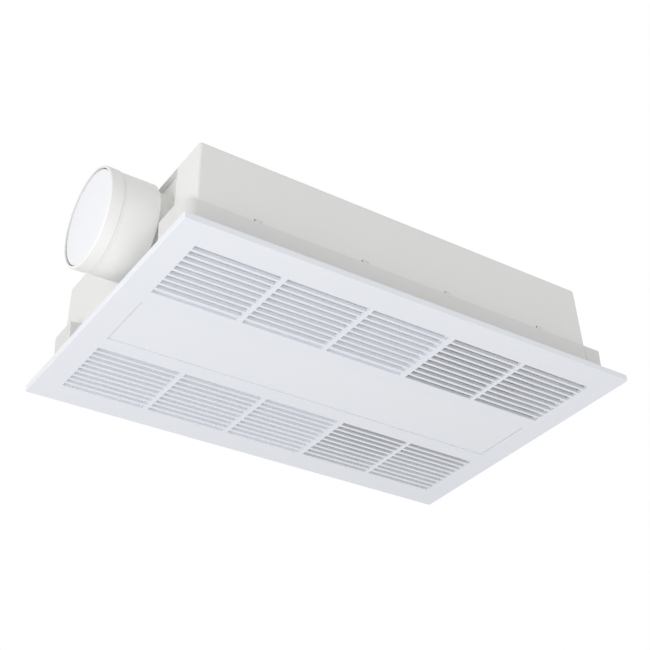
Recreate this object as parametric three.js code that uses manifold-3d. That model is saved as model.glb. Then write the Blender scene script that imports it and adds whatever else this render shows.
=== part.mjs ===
// Bathroom ceiling heater with an exhaust fan, a circulation fan and a hot-air outlet.
// Millimetres, +Z up. The origin is the centre of the ceiling opening, in the plane of the
// ceiling's underside. The duct leaves at -X, and the wide group of panel cells is at -X too.

import * as THREE from "three";
import { mergeVertices } from "three/addons/utils/BufferGeometryUtils.js";
import Module from "manifold-3d";

const wasm = await Module();
wasm.setup();

// Clearances and cutting overrun
const seatGap = 0.3;
const slideGap = 0.4;
const mouthGap = 0.6;
const overrun = 2;

// Front panel
const panelLength = 620;
const panelWidth = 402;
const panelDepth = 8.4;
const panelFace = 4.5;
const panelSkirtWall = 3;
const panelCorner = 1.2;
const panelEndLap = 28.5;
const panelSideLap = 31.5;
const panelDropRange = 45;

// Slotted cells of the panel: a wide group of three and a narrow group of two, in two rows
const slotPitch = 10.2;
const slotWidth = 6.6;
const slotsPerCell = 10;
const narrowCellShare = 0.935;
const wideBar = 6;
const narrowBar = 5.5;
const groupBar = 7.2;
const wideCells = 3;
const narrowCells = 2;
const rowInnerShare = 0.37;

// Centre strip, set in a pocket of the panel
const stripEndMargin = 32.5;
const stripWidth = 86;
const stripSetback = 1.3;
const stripPlate = 1.5;
const pocketFloor = 2;
const pocketRim = 3;

// Blades on the panel's back and the spring clips that grip them
const bladeSideInset = 16.5;
const bladeFarPlace = 28;
const bladeNearGap = 6;
const bladeThickness = 2;
const bladeWidth = 14;
const bladeGrip = 3;
const clipSheet = 0.8;
const clipHeight = 14;
const clipFlange = 4;

// Intake filters
const filterThickness = 2.2;
const filterBorder = 7;
const filterBar = 1.6;
const filterLap = 4;
const filterColumns = 10;
const filterRows = 3;

// Base frame
const frameWall = 3;
const frameCorner = 5;
const frameBottom = 1;
const frameTop = 49.7;
const deckTop = 22.5;
const deckPlate = 2.5;
const deckHoleMargin = 3;

// Mounting ears of the base frame
const earReachLeft = 13.5;
const earReachRight = 23;
const earSpan = 57.5;
const earHeight = 46;
const earCornerLeft = 16;
const earCornerRight = 4;
const earWall = 3;
const earHole = 8;
const earRibReach = 6;
const earRibInset = 16;
const earRibWidth = 14;
const earRibHeight = 3;

// Snap hooks of the base frame and their windows in the housing
const hookOuterPlace = 203;
const hookInnerPlace = 60;
const hookWidth = 7;
const hookRise = 3;
const hookRoot = 2;
const hookDepth = 2.6;
const hookGap = 1.1;

// Upper housing
const housingTop = 135.7;
const housingLedge = 1.3;
const housingDraftX = 3.4;
const housingDraftY = 1.2;
const housingWall = 2.4;
const housingCorner = 4;
const housingEdge = 3.6;

// Recess round the duct, shared by the housing and the base frame
const ductY = -54;
const ductZ = 72.8;
const recessDepth = 14;
const recessRadius = 62;
const recessPlate = 2.4;
const recessRim = 3;

// Duct adapter
const ductBore = 50;
const ductNeckWall = 3;
const ductNeckLength = 23.7;
const ductTube = 59.2;
const ductTubeLength = 45.3;
const ductTubeWall = 2.5;
const ductBackWall = 2;
const ductRim = 60.3;
const ductRimLength = 15.3;
const ductRimWall = 2.8;
const ductRimEdge = 2;
const ductRimStep = 1.4;
const ductPlate = 2.5;
const ductPlateMargin = 0.8;
const ductPlateTopMargin = 5;
const ductScrewInset = 6;
const ductScrewLength = 6.4;

// Back-draft flap
const flapThickness = 1.8;
const flapDome = 1.2;
const flapDomeShares = [
  [0.85, 0.4],
  [0.6, 0.8],
  [0.3, 1],
  [0, 1],
];
const flapSetback = 0.4;
const flapGap = 1.4;
const flapPinRise = 10;
const flapPinRadius = 1.2;
const flapPinSet = 1.9;
const flapPinHold = 1.5;
const knuckleWall = 1.1;
const knuckleLength = 12;
const knucklePlace = 22;
const flapStopRadius = 2;
const flapStopAngle = THREE.MathUtils.degToRad(50);

// Blowers: scroll and inlet ring
const scrollStartGap = 9;
const scrollEndGap = 40;
const acrossSweepShare = 2 / 3;
const asideSweepShare = 1 / 3;
const scrollMouth = 90;
const scrollWall = 2;
const scrollPlate = 2.5;
const scrollHeadroom = 12.8;
const inletPlate = 2.5;
const inletInset = 18;
const inletLip = 2;
const inletLipHeight = 6;
const exhaustNeck = 3.1;
const circulationNeck = 25;
const circulationFarGap = 6.8;
const circulationSideGap = 26.5;

// Impellers
const scrollRadiiCount = 4;
const wheelBladeDepth = 12;
const wheelFloorGap = 5;
const wheelRoofGap = 21.5;
const wheelRing = 3;
const wheelDisc = 2.5;
const wheelBlades = 18;
const wheelBladeSheet = 1.4;
const wheelBladeTurn = THREE.MathUtils.degToRad(35);
const hubRadius = 10;
const hubHeight = 14;
const hubGap = 10;
const shaftRadius = 4;
const shaftEntry = 9;
const shaftTip = 3;
const nutRadius = 8;
const nutHeight = 5;

// Blower motors
const motorRadius = 30;
const motorHeight = 42;
const motorFlange = 38;
const motorFlangePlate = 3.5;
const motorBoss = 9;
const motorBossHeight = 4;
const motorEdge = 4;
const motorScrewPlace = 34;
const motorScrews = 3;

// Screws, and the bosses that hang the scrolls from the housing
const screwHead = 3.4;
const screwHeadHeight = 2.2;
const screwShank = 1.7;
const flatScrewSink = 0.2;
const motorScrewLength = 5.4;
const bossRadius = 5;
const bossInset = 10;
const bossSink = 1;
const bossGrip = 8.6;

// Hot-air outlet: duct over the narrow cells, heater frame and core, guide below the deck
const outletShoulder = 4;
const outletSideGap = 29.3;
const outletNearGap = 4;
const outletWall = 2;
const heaterMargin = 8;
const heaterSheet = 1.6;
const heaterHeight = 34;
const heaterLedge = 5;
const heaterLedgeRise = 5;
const coreHeight = 24;
const coreBorder = 6;
const coreBar = 3;
const coreRows = 4;
const coreColumns = 5;
const guideWall = 2;
const guideFlange = 4;
const guideDrop = 22;
const thermostatRadius = 8;
const thermostatHeight = 5;
const thermostatFlange = 12;
const thermostatFlangePlate = 1.2;
const thermostatInset = 40;
const thermostatPlaceShare = 0.35;
const fuseRadius = 2.4;
const fuseLength = 16;
const fuseFoot = 2.6;
const fusePlace = 22;

// Control box, its board and what it carries
const boxSideGap = 10;
const boxWidth = 77;
const boxNearGap = 44;
const boxFarGap = 16.5;
const boxWall = 2;
const boxHeight = 39.5;
const coverPlate = 2;
const coverLip = 4;
const boardMargin = 5;
const boardPlate = 1.6;
const boardRise = 6;
const boardPost = 3;
const boardPostInset = 8;
const relayLength = 20;
const relayWidth = 16;
const relayHeight = 15;
const relayPlaceShares = [0.3, 0.46];
const capacitorRadius = 11;
const capacitorHeight = 25;
const capacitorPlaceShare = 0.655;
const terminalLength = 46;
const terminalWidth = 14;
const terminalHeight = 13;
const terminalInset = 16;
const terminalWays = 4;
const terminalBore = 2;
const terminalDepth = 8;

// Leads inside the housing
const leadRadius = 2;
const leadHole = 2.6;
const leadRise = 20;
const leadEndInset = 14;
const leadOutset = 5;
const leadHeadroom = 5;
const leadNearPlace = 12;
const leadStep = 14;

// Cable gland in the far wall
const glandZ = 92;
const glandRadius = 10;
const glandBore = 5;
const glandHead = 14;
const glandHeadLength = 16;
const glandThread = 9;
const glandNut = 14;
const glandNutLength = 5;

// Facets of the round pieces
const fineFacets = 44;
const wheelFacets = 32;
const midFacets = 20;
const hexFacets = 6;
const leadFacets = 6;
const smallFacets = 8;
const cornerFacets = 5;
const edgeFacets = 2;
const spiralSteps = 36;

// Heights that follow from the sizes above
const panelFaceZ = -panelDepth;
const panelBackZ = panelFaceZ + panelFace;
const pocketZ = panelFaceZ + stripSetback + stripPlate;
const deckBottom = deckTop - deckPlate;
const clipTop = deckTop + clipHeight;
const bladeTop = deckTop + panelDropRange + bladeGrip;
const housingInnerTop = housingTop - housingWall;
const scrollBottom = deckTop + inletPlate;
const scrollTop = housingInnerTop - scrollHeadroom;
const scrollInnerTop = scrollTop - scrollPlate;
const motorBottom = scrollInnerTop - motorHeight;
const motorBossBottom = motorBottom - motorBossHeight;
const shaftTop = motorBossBottom + shaftEntry;
const hubTop = motorBossBottom - hubGap;
const hubBottom = hubTop - hubHeight;
const wheelBottom = scrollBottom + wheelFloorGap;
const wheelTop = scrollInnerTop - wheelRoofGap;
const boxTop = deckTop + boxHeight;
const boardZ = deckTop + boxWall + boardRise;
const boardTop = boardZ + boardPlate;
const coreBottom = deckTop + heaterLedgeRise + heaterSheet;
const leadTopZ = housingInnerTop - leadHeadroom;

// Places that follow from the sizes above
const frameHalfLength = panelLength / 2 - panelEndLap;
const frameHalfWidth = panelWidth / 2 - panelSideLap;
const frameInnerX = frameHalfLength - frameWall;
const frameInnerY = frameHalfWidth - frameWall;
const housingHalfX = frameHalfLength - housingLedge;
const housingHalfY = frameHalfWidth - housingLedge;
const recessFloor = frameHalfLength - recessDepth;
const recessBack = recessFloor - recessPlate;
const ductNeck = ductBore + ductNeckWall;
const plateEnd = recessFloor + ductPlate;
const neckEnd = plateEnd + ductNeckLength;
const tubeEnd = neckEnd + ductTubeLength;
const rimEnd = tubeEnd + ductRimLength;
const rimInner = ductRim - ductRimWall;
const flapRadius = rimInner - flapGap;
const flapFace = rimEnd - flapSetback - flapDome;
const flapBack = flapFace - flapThickness;
const flapPinX = flapPinSet - flapBack;
const flapPinZ = ductZ + flapPinRise;
const flapPinHalf = Math.sqrt(rimInner ** 2 - flapPinRise ** 2) + flapPinHold;
const stripLength = panelLength - 2 * stripEndMargin;
const cellsBars = (wideCells - 1) * wideBar + groupBar + (narrowCells - 1) * narrowBar;
const wideCell = (stripLength - cellsBars) / (wideCells + narrowCells * narrowCellShare);
const narrowCell = wideCell * narrowCellShare;
const wideStep = wideCell + wideBar;
const narrowStep = narrowCell + narrowBar;
const wideGroup = wideCells * wideStep - wideBar;
const narrowGroup = narrowCells * narrowStep - narrowBar;
const cellsLeft = -(wideGroup + groupBar + narrowGroup) / 2;
const narrowLeft = cellsLeft + wideGroup + groupBar;
const rowHalf = ((slotsPerCell - 1) * slotPitch + slotWidth) / 2;
const padHalfWidth = stripWidth / 2 + pocketRim;
const rowSpare = panelWidth / 2 - panelSkirtWall - padHalfWidth - 2 * rowHalf;
const rowCentre = padHalfWidth + rowHalf + rowSpare * rowInnerShare;
const scrollSweep = scrollEndGap - scrollStartGap;
const acrossGap = scrollStartGap + scrollSweep * acrossSweepShare;
const asideGap = scrollStartGap + scrollSweep * asideSweepShare;
const blowerGaps = 2 * scrollEndGap + acrossGap + asideGap + exhaustNeck + circulationSideGap;
const wheelRadius = (recessBack + frameInnerX - blowerGaps - boxWidth - 2 * boxSideGap) / scrollRadiiCount;
const inletRadius = wheelRadius - inletInset;
const bossPlace = wheelRadius - bossInset;
const scrollStart = wheelRadius + scrollStartGap;
const scrollEnd = wheelRadius + scrollEndGap;
const scrollGrowth = scrollSweep / (1.5 * Math.PI);
const scrollAcross = wheelRadius + acrossGap;
const scrollAside = wheelRadius + asideGap;
const exhaustReach = scrollEnd + exhaustNeck;
const circulationReach = scrollStart + circulationNeck;
const exhaustX = exhaustReach - recessBack;
const exhaustY = ductY + scrollEnd - scrollMouth / 2;
const circulationX = frameInnerX - circulationSideGap - scrollEnd;
const circulationY = frameInnerY - circulationFarGap - scrollAcross;
const boxLeft = exhaustX + scrollAcross + boxSideGap;
const boxRight = boxLeft + boxWidth;
const boxMiddle = (boxLeft + boxRight) / 2;
const bladeNearPlace = -padHalfWidth - bladeNearGap;
const boxNear = bladeNearPlace + boxNearGap;
const boxFar = frameInnerY - boxFarGap;
const outletRight = circulationX + scrollEnd + outletShoulder;
const outletLeft = boxRight + outletSideGap;
const outletFar = circulationY - circulationReach;
const outletNear = outletNearGap - frameInnerY;
const heaterLeft = outletLeft + outletWall + heaterMargin;
const heaterRight = outletRight - outletWall - heaterMargin;
const heaterNear = outletNear + outletWall + heaterMargin;
const heaterFar = outletFar - outletWall - heaterMargin;
const airLeft = heaterLeft + heaterLedge;
const airRight = heaterRight - heaterLedge;
const airNear = heaterNear + heaterLedge;
const airFar = heaterFar - heaterLedge;
const bladePlaces = {
  left: [bladeSideInset - frameInnerX, bladeFarPlace],
  right: [frameInnerX - bladeSideInset, bladeFarPlace],
  near: [boxMiddle, bladeNearPlace],
};
const hookPlaces = [-hookOuterPlace, -hookInnerPlace, hookInnerPlace, hookOuterPlace];
const bossAngles = [Math.PI / 4, (5 * Math.PI) / 4];
const ductScrewTop = housingInnerTop - ductPlateTopMargin - ductScrewInset;
const ductScrewSide = recessRadius - ductPlateMargin - ductScrewInset;
const ductScrewPlaces = [
  [ductY - ductScrewSide, ductScrewTop],
  [ductY + ductScrewSide, ductScrewTop],
  [ductY, ductZ - (ductNeck + recessRadius) / 2],
];

// Finishes
const finish = (color, roughness, metalness = 0) =>
  new THREE.MeshStandardMaterial({ color, roughness, metalness });
const panelWhite = finish(0xeef0f5, 0.42);
const stripWhite = finish(0xf0f2f6, 0.38);
const shellWhite = finish(0xe6e6e4, 0.5);
const ductWhite = finish(0xe9e8e4, 0.45);
const flapWhite = finish(0xf0f1f4, 0.4);
const filterGrey = finish(0xc9ccd0, 0.8);
const wheelBlack = finish(0x2c2e31, 0.55);
const zincSteel = finish(0xb9bcc0, 0.35, 0.9);
const aluminium = finish(0xc4c7ca, 0.4, 0.85);
const boardGreen = finish(0x2f6b45, 0.6);
const partsBlack = finish(0x25272a, 0.5);
const partsWhite = finish(0xdedfdc, 0.5);
const leadGrey = finish(0x8d9196, 0.6);

// Turns a closed geometry into a solid that can be joined and cut.
function solid(geometry) {
  const bare = new THREE.BufferGeometry();
  bare.setAttribute("position", geometry.getAttribute("position"));
  bare.setIndex(geometry.getIndex());
  const merged = mergeVertices(bare);
  const corners = new Uint32Array(merged.index.array);
  const build = () =>
    new wasm.Manifold(
      new wasm.Mesh({ numProp: 3, vertProperties: merged.attributes.position.array, triVerts: corners }),
    );
  const first = build();
  if (first.volume() >= 0) return first;
  for (let i = 0; i < corners.length; i += 3) {
    [corners[i + 1], corners[i + 2]] = [corners[i + 2], corners[i + 1]];
  }
  return build();
}

// Turns a solid back into a geometry.
function geometryOf(body) {
  const mesh = body.getMesh();
  const geometry = new THREE.BufferGeometry();
  geometry.setAttribute("position", new THREE.BufferAttribute(new Float32Array(mesh.vertProperties), 3));
  geometry.setIndex(new THREE.BufferAttribute(new Uint32Array(mesh.triVerts), 1));
  geometry.computeVertexNormals();
  return geometry;
}

const join = (...bodies) => bodies.reduce((a, b) => a.add(b));
const cut = (body, ...tools) => tools.reduce((a, b) => a.subtract(b), body);

// A box between two opposite corners, given in any order.
function block(x0, x1, y0, y1, z0, z1) {
  const box = new THREE.BoxGeometry(Math.abs(x1 - x0), Math.abs(y1 - y0), Math.abs(z1 - z0));
  return solid(box.translate((x0 + x1) / 2, (y0 + y1) / 2, (z0 + z1) / 2));
}

// A rectangle with round corners, centred on the origin.
function roundRectangle(halfX, halfY, radius) {
  const shape = new THREE.Shape();
  const x = halfX - radius;
  const y = halfY - radius;
  shape.absarc(x, -y, radius, -Math.PI / 2, 0, false);
  shape.absarc(x, y, radius, 0, Math.PI / 2, false);
  shape.absarc(-x, y, radius, Math.PI / 2, Math.PI, false);
  shape.absarc(-x, -y, radius, Math.PI, (3 * Math.PI) / 2, false);
  shape.closePath();
  return shape;
}

// A shape in plan, extruded upwards between two heights.
function prism(shape, z0, z1, facets = cornerFacets) {
  const geometry = new THREE.ExtrudeGeometry(shape, { depth: z1 - z0, bevelEnabled: false, curveSegments: facets });
  return solid(geometry.translate(0, 0, z0));
}

// A shape given in (y, z), extruded along X between two places.
function plateAcross(shape, x0, x1) {
  const geometry = new THREE.ExtrudeGeometry(shape, {
    depth: x1 - x0,
    bevelEnabled: false,
    curveSegments: midFacets,
  });
  const turn = new THREE.Matrix4().set(0, 0, 1, x0, 1, 0, 0, 0, 0, 1, 0, 0, 0, 0, 0, 1);
  return solid(geometry.applyMatrix4(turn));
}

const latheOf = (profile, facets) =>
  new THREE.LatheGeometry(
    profile.map(([radius, along]) => new THREE.Vector2(radius, along)),
    facets,
  );

// A profile of [radius, height] points, turned about the Z axis.
const turned = (profile, facets) => solid(latheOf(profile, facets).rotateX(Math.PI / 2));

// A profile of [radius, distance] points, turned about the duct's axis; distance runs towards -X.
const turnedOnDuct = (profile, facets) =>
  solid(latheOf(profile, facets).rotateZ(Math.PI / 2).translate(0, ductY, ductZ));

// An upright round bar.
function rod(x, y, z0, z1, radius, facets = smallFacets) {
  const geometry = new THREE.CylinderGeometry(radius, radius, z1 - z0, facets);
  return solid(geometry.rotateX(Math.PI / 2).translate(x, y, (z0 + z1) / 2));
}

// A round bar along X.
function rodAlongX(x0, x1, y, z, radius, facets = smallFacets) {
  const geometry = new THREE.CylinderGeometry(radius, radius, x1 - x0, facets);
  return solid(geometry.rotateZ(Math.PI / 2).translate((x0 + x1) / 2, y, z));
}

// A round bar along Y.
function rodAlongY(x, y0, y1, z, radius, facets = smallFacets) {
  const geometry = new THREE.CylinderGeometry(radius, radius, y1 - y0, facets);
  return solid(geometry.translate(x, (y0 + y1) / 2, z));
}

// A round bar between two points.
function rodBetween(from, to, radius, facets) {
  const along = to.clone().sub(from);
  const middle = from.clone().add(to).divideScalar(2);
  const geometry = new THREE.CylinderGeometry(radius, radius, along.length(), facets);
  const turn = new THREE.Quaternion().setFromUnitVectors(new THREE.Vector3(0, 1, 0), along.normalize());
  geometry.applyQuaternion(turn);
  return solid(geometry.translate(middle.x, middle.y, middle.z));
}

// The openings of a grid of bars in a rectangle, each as [x0, x1, y0, y1].
function gridWays([x0, x1, y0, y1], border, bar, columns, rows) {
  const stepX = (x1 - x0 - 2 * border + bar) / columns;
  const stepY = (y1 - y0 - 2 * border + bar) / rows;
  const ways = [];
  for (let i = 0; i < columns; i++) {
    for (let j = 0; j < rows; j++) {
      const x = x0 + border + i * stepX;
      const y = y0 + border + j * stepY;
      ways.push([x, x + stepX - bar, y, y + stepY - bar]);
    }
  }
  return ways;
}

// A flat piece between two heights, with ways cut through it.
function pierced(body, ways, z0, z1) {
  return cut(body, join(...ways.map((way) => block(...way, z0 - overrun, z1 + overrun))));
}

const heater = new THREE.Group();
const panelGroup = new THREE.Group();
const exhaustBlower = new THREE.Group();
const circulationBlower = new THREE.Group();
heater.add(panelGroup, exhaustBlower, circulationBlower);
exhaustBlower.position.set(exhaustX, exhaustY, 0);
circulationBlower.position.set(circulationX, circulationY, 0);
circulationBlower.rotation.z = Math.PI / 2;

function add(group, name, body, material) {
  const mesh = new THREE.Mesh(geometryOf(body), material);
  mesh.name = name;
  group.add(mesh);
  return mesh;
}

// Front panel and what rides on it

function cellPlaces() {
  const places = [];
  for (let i = 0; i < wideCells; i++) {
    places.push([cellsLeft + i * wideStep, wideCell]);
  }
  for (let i = 0; i < narrowCells; i++) {
    places.push([narrowLeft + i * narrowStep, narrowCell]);
  }
  return places;
}

function panelBlade([x, y]) {
  const halfX = bladeThickness / 2;
  const halfY = bladeWidth / 2;
  return block(x - halfX, x + halfX, y - halfY, y + halfY, pocketZ, bladeTop);
}

function slotWays() {
  const ways = [];
  for (const side of [-1, 1]) {
    for (const [x, width] of cellPlaces()) {
      for (let i = 0; i < slotsPerCell; i++) {
        const y = side * rowCentre - rowHalf + i * slotPitch;
        ways.push([x, x + width, y, y + slotWidth]);
      }
    }
  }
  return ways;
}

function frontPanel() {
  const innerX = panelLength / 2 - panelSkirtWall;
  const innerY = panelWidth / 2 - panelSkirtWall;
  const halfX = stripLength / 2;
  const halfY = stripWidth / 2;
  const padX = halfX + pocketRim;
  const tray = cut(
    prism(roundRectangle(panelLength / 2, panelWidth / 2, panelCorner), panelFaceZ, 0),
    block(-innerX, innerX, -innerY, innerY, panelBackZ, overrun),
  );
  const plate = join(
    pierced(tray, slotWays(), panelFaceZ, panelBackZ),
    block(-padX, padX, -padHalfWidth, padHalfWidth, panelFaceZ, pocketZ + pocketFloor),
  );
  const pocket = block(-halfX, halfX, -halfY, halfY, panelFaceZ - overrun, pocketZ);
  return join(cut(plate, pocket), ...Object.values(bladePlaces).map(panelBlade));
}

function centreStrip() {
  const halfX = stripLength / 2 - seatGap;
  const halfY = stripWidth / 2 - seatGap;
  return block(-halfX, halfX, -halfY, halfY, pocketZ - stripPlate, pocketZ);
}

function intakeFilter(side) {
  const x0 = cellsLeft - filterLap;
  const x1 = cellsLeft + wideGroup + filterLap;
  const y0 = side * rowCentre - rowHalf - filterLap;
  const y1 = side * rowCentre + rowHalf + filterLap;
  const top = panelBackZ + filterThickness;
  const ways = gridWays([x0, x1, y0, y1], filterBorder, filterBar, filterColumns, filterRows);
  return pierced(block(x0, x1, y0, y1, panelBackZ, top), ways, panelBackZ, top);
}

function springClip([x, y]) {
  const wellX = bladeThickness / 2 + seatGap;
  const wellY = bladeWidth / 2 + seatGap;
  const outerX = wellX + clipSheet;
  const outerY = wellY + clipSheet;
  const footX = outerX + clipFlange;
  return cut(
    join(
      block(x - outerX, x + outerX, y - outerY, y + outerY, deckTop, clipTop),
      block(x - footX, x + footX, y - outerY, y + outerY, deckTop, deckTop + clipSheet),
    ),
    block(x - wellX, x + wellX, y - wellY, y + wellY, deckTop - overrun, clipTop + overrun),
  );
}

add(panelGroup, "front_panel", frontPanel(), panelWhite);
add(panelGroup, "centre_strip", centreStrip(), stripWhite);
add(panelGroup, "intake_filter_near", intakeFilter(-1), filterGrey);
add(panelGroup, "intake_filter_far", intakeFilter(1), filterGrey);
for (const [place, at] of Object.entries(bladePlaces)) {
  add(heater, `spring_clip_${place}`, springClip(at), zincSteel);
}

// Base frame

// The recess round the duct, seen along X: a half circle with straight sides up to the top.
function recessOutline(margin, top) {
  const radius = recessRadius - margin;
  const shape = new THREE.Shape();
  shape.moveTo(ductY + radius, top);
  shape.lineTo(ductY - radius, top);
  shape.absarc(ductY, ductZ, radius, Math.PI, 2 * Math.PI, false);
  shape.closePath();
  return shape;
}

function ductScrewHole([y, z]) {
  return rodAlongX(-plateEnd - overrun, overrun - recessBack, y, z, screwShank + seatGap);
}

// Gives a shell the recess: a floor set back from the wall, with its rim, and the duct's bore.
function withRecess(shell, outer, wallX) {
  const filling = plateAcross(recessOutline(-recessRim, housingTop + overrun), -wallX - overrun, -recessBack);
  const hollow = plateAcross(recessOutline(0, housingInnerTop), -wallX - overrun, -recessFloor);
  const bore = rodAlongX(-wallX - overrun, overrun - recessBack, ductY, ductZ, ductBore, fineFacets);
  return cut(join(shell, outer.intersect(filling)), hollow, bore, ...ductScrewPlaces.map(ductScrewHole));
}

// One ear with an open underside; the signs give its corner of the frame.
function ear(signX, signY) {
  const reach = signX < 0 ? earReachLeft : earReachRight;
  const corner = signX < 0 ? earCornerLeft : earCornerRight;
  const farX = frameHalfLength + reach;
  const innerY = frameHalfWidth - earSpan;
  const bottom = frameTop - earHeight;
  const quarter = (inset, z0, z1) =>
    prism(roundRectangle(farX - inset, frameHalfWidth - inset, corner - inset), z0, z1).intersect(
      block(
        signX * (frameInnerX + inset),
        signX * (farX + overrun),
        signY * (innerY + inset),
        signY * (frameHalfWidth + overrun),
        z0,
        z1,
      ),
    );
  const middle = signY * (frameHalfWidth - earSpan / 2);
  const holeX = signX * (frameHalfLength + reach / 2);
  const shell = cut(
    quarter(0, bottom, frameTop),
    quarter(earWall, bottom - overrun, frameTop - earWall),
    rod(holeX, middle, bottom, frameTop + overrun, earHole / 2, midFacets),
  );
  const ribStart = frameHalfWidth - earRibInset;
  const rib = block(
    signX * frameHalfLength,
    signX * (frameHalfLength + earRibReach),
    signY * ribStart,
    signY * (ribStart - earRibWidth),
    frameTop - earRibHeight,
    frameTop + earRibHeight,
  );
  return join(shell, rib);
}

function snapHook(x, signY) {
  return block(
    x - hookWidth / 2,
    x + hookWidth / 2,
    signY * frameInnerY,
    signY * (frameInnerY + hookDepth),
    frameTop - hookRoot,
    frameTop + hookRise,
  );
}

function bladeSlot([x, y]) {
  const halfX = bladeThickness / 2 + slideGap;
  const halfY = bladeWidth / 2 + slideGap;
  return block(x - halfX, x + halfX, y - halfY, y + halfY, deckBottom - overrun, deckTop + overrun);
}

function deck() {
  const inWall = frameWall / 2;
  const outline = roundRectangle(frameInnerX + inWall, frameInnerY + inWall, frameCorner - inWall);
  const hole = inletRadius + deckHoleMargin;
  return cut(
    prism(outline, deckBottom, deckTop),
    rod(exhaustX, exhaustY, deckBottom - overrun, deckTop + overrun, hole, wheelFacets),
    rod(circulationX, circulationY, deckBottom - overrun, deckTop + overrun, hole, wheelFacets),
    block(airLeft, airRight, airNear, airFar, deckBottom - overrun, deckTop + overrun),
    ...Object.values(bladePlaces).map(bladeSlot),
  );
}

function baseFrame() {
  const outer = prism(roundRectangle(frameHalfLength, frameHalfWidth, frameCorner), frameBottom, frameTop);
  const inner = prism(
    roundRectangle(frameInnerX, frameInnerY, frameCorner - frameWall),
    frameBottom - overrun,
    frameTop + overrun,
  );
  const ears = [-1, 1].flatMap((signX) => [-1, 1].map((signY) => ear(signX, signY)));
  const hooks = [-1, 1].flatMap((signY) => hookPlaces.map((x) => snapHook(x, signY)));
  const walls = cut(join(outer, ...ears), inner);
  const shell = join(walls, ...hooks, deck());
  return withRecess(shell, outer, frameHalfLength);
}

add(heater, "base_frame", baseFrame(), shellWhite);

// Upper housing

// A round-cornered block with a round top edge and drafted walls, inset all round.
function draftedBlock(inset) {
  const edge = housingEdge - inset;
  const top = housingTop - inset;
  const start = frameTop - overrun;
  const side = inset + edge;
  const shape = roundRectangle(housingHalfX - side, housingHalfY - side, housingCorner - side);
  const geometry = new THREE.ExtrudeGeometry(shape, {
    depth: top - edge - start,
    bevelEnabled: true,
    bevelThickness: edge,
    bevelSize: edge,
    bevelSegments: edgeFacets,
    curveSegments: cornerFacets,
  });
  geometry.translate(0, 0, start);
  const place = geometry.getAttribute("position");
  for (let i = 0; i < place.count; i++) {
    const share = (place.getZ(i) - frameTop) / (housingTop - frameTop);
    place.setX(i, place.getX(i) * (1 - (share * housingDraftX) / housingHalfX));
    place.setY(i, place.getY(i) * (1 - (share * housingDraftY) / housingHalfY));
  }
  return solid(geometry);
}

function hookWindow(x, signY) {
  const half = hookWidth / 2 + hookGap;
  const inner = housingHalfY - housingWall - housingDraftY - overrun;
  return block(
    x - half,
    x + half,
    signY * inner,
    signY * (housingHalfY + overrun),
    frameTop - overrun,
    frameTop + hookRise + hookGap,
  );
}

// The places of a blower's bosses in the whole object's frame.
function bossPlaces(blower) {
  blower.updateMatrix();
  return bossAngles.map((angle) => {
    const local = new THREE.Vector3(bossPlace * Math.cos(angle), bossPlace * Math.sin(angle), 0);
    return local.applyMatrix4(blower.matrix);
  });
}

const hangingPlaces = [...bossPlaces(exhaustBlower), ...bossPlaces(circulationBlower)];

// The hole of a flat-headed screw: a cone from the shank's hole up to the head's, then straight.
function countersink(x, y) {
  const head = screwHead + seatGap;
  const hole = screwShank + seatGap;
  const top = housingTop - flatScrewSink;
  return turned(
    [
      [0, housingInnerTop - overrun],
      [hole, housingInnerTop - overrun],
      [hole, top - (head - hole)],
      [head, top],
      [head, housingTop + overrun],
      [0, housingTop + overrun],
    ],
    midFacets,
  ).translate(x, y, 0);
}

function upperHousing() {
  const far = 2 * frameHalfLength;
  const below = block(-far, far, -far, far, frameTop - far, frameTop);
  const outer = cut(draftedBlock(0), below);
  const shell = cut(outer, draftedBlock(housingWall));
  const body = withRecess(shell, outer, housingHalfX);
  const wallInside = housingHalfY - housingWall - housingDraftY - overrun;
  return cut(
    body,
    ...[-1, 1].flatMap((signY) => hookPlaces.map((x) => hookWindow(x, signY))),
    ...hangingPlaces.map(({ x, y }) => countersink(x, y)),
    rodAlongY(boxMiddle, wallInside, housingHalfY + overrun, glandZ, glandRadius + seatGap, midFacets),
  );
}

add(heater, "upper_housing", upperHousing(), shellWhite);

// Screws, pointing down, with their heads' undersides or flat tops at zero

function screw(length) {
  const edge = screwHeadHeight / 2;
  return turned(
    [
      [0, -length],
      [screwShank, -length],
      [screwShank, 0],
      [screwHead, 0],
      [screwHead, edge],
      [screwHead - edge, screwHeadHeight],
      [0, screwHeadHeight],
    ],
    smallFacets,
  );
}

function flatScrew(length) {
  return turned(
    [
      [0, -length],
      [screwShank, -length],
      [screwShank, screwShank - screwHead],
      [screwHead, 0],
      [0, 0],
    ],
    midFacets,
  );
}

hangingPlaces.forEach(({ x, y }, i) => {
  const mesh = add(heater, `housing_screw_${i + 1}`, flatScrew(housingWall + bossGrip), zincSteel);
  mesh.position.set(x, y, housingTop - flatScrewSink);
});

ductScrewPlaces.forEach(([y, z], i) => {
  const mesh = add(heater, `duct_screw_${i + 1}`, screw(ductScrewLength), zincSteel);
  mesh.position.set(-plateEnd - seatGap / 2, y, z);
  mesh.rotation.y = -Math.PI / 2;
});

// Duct adapter with its back-draft flap

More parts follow.
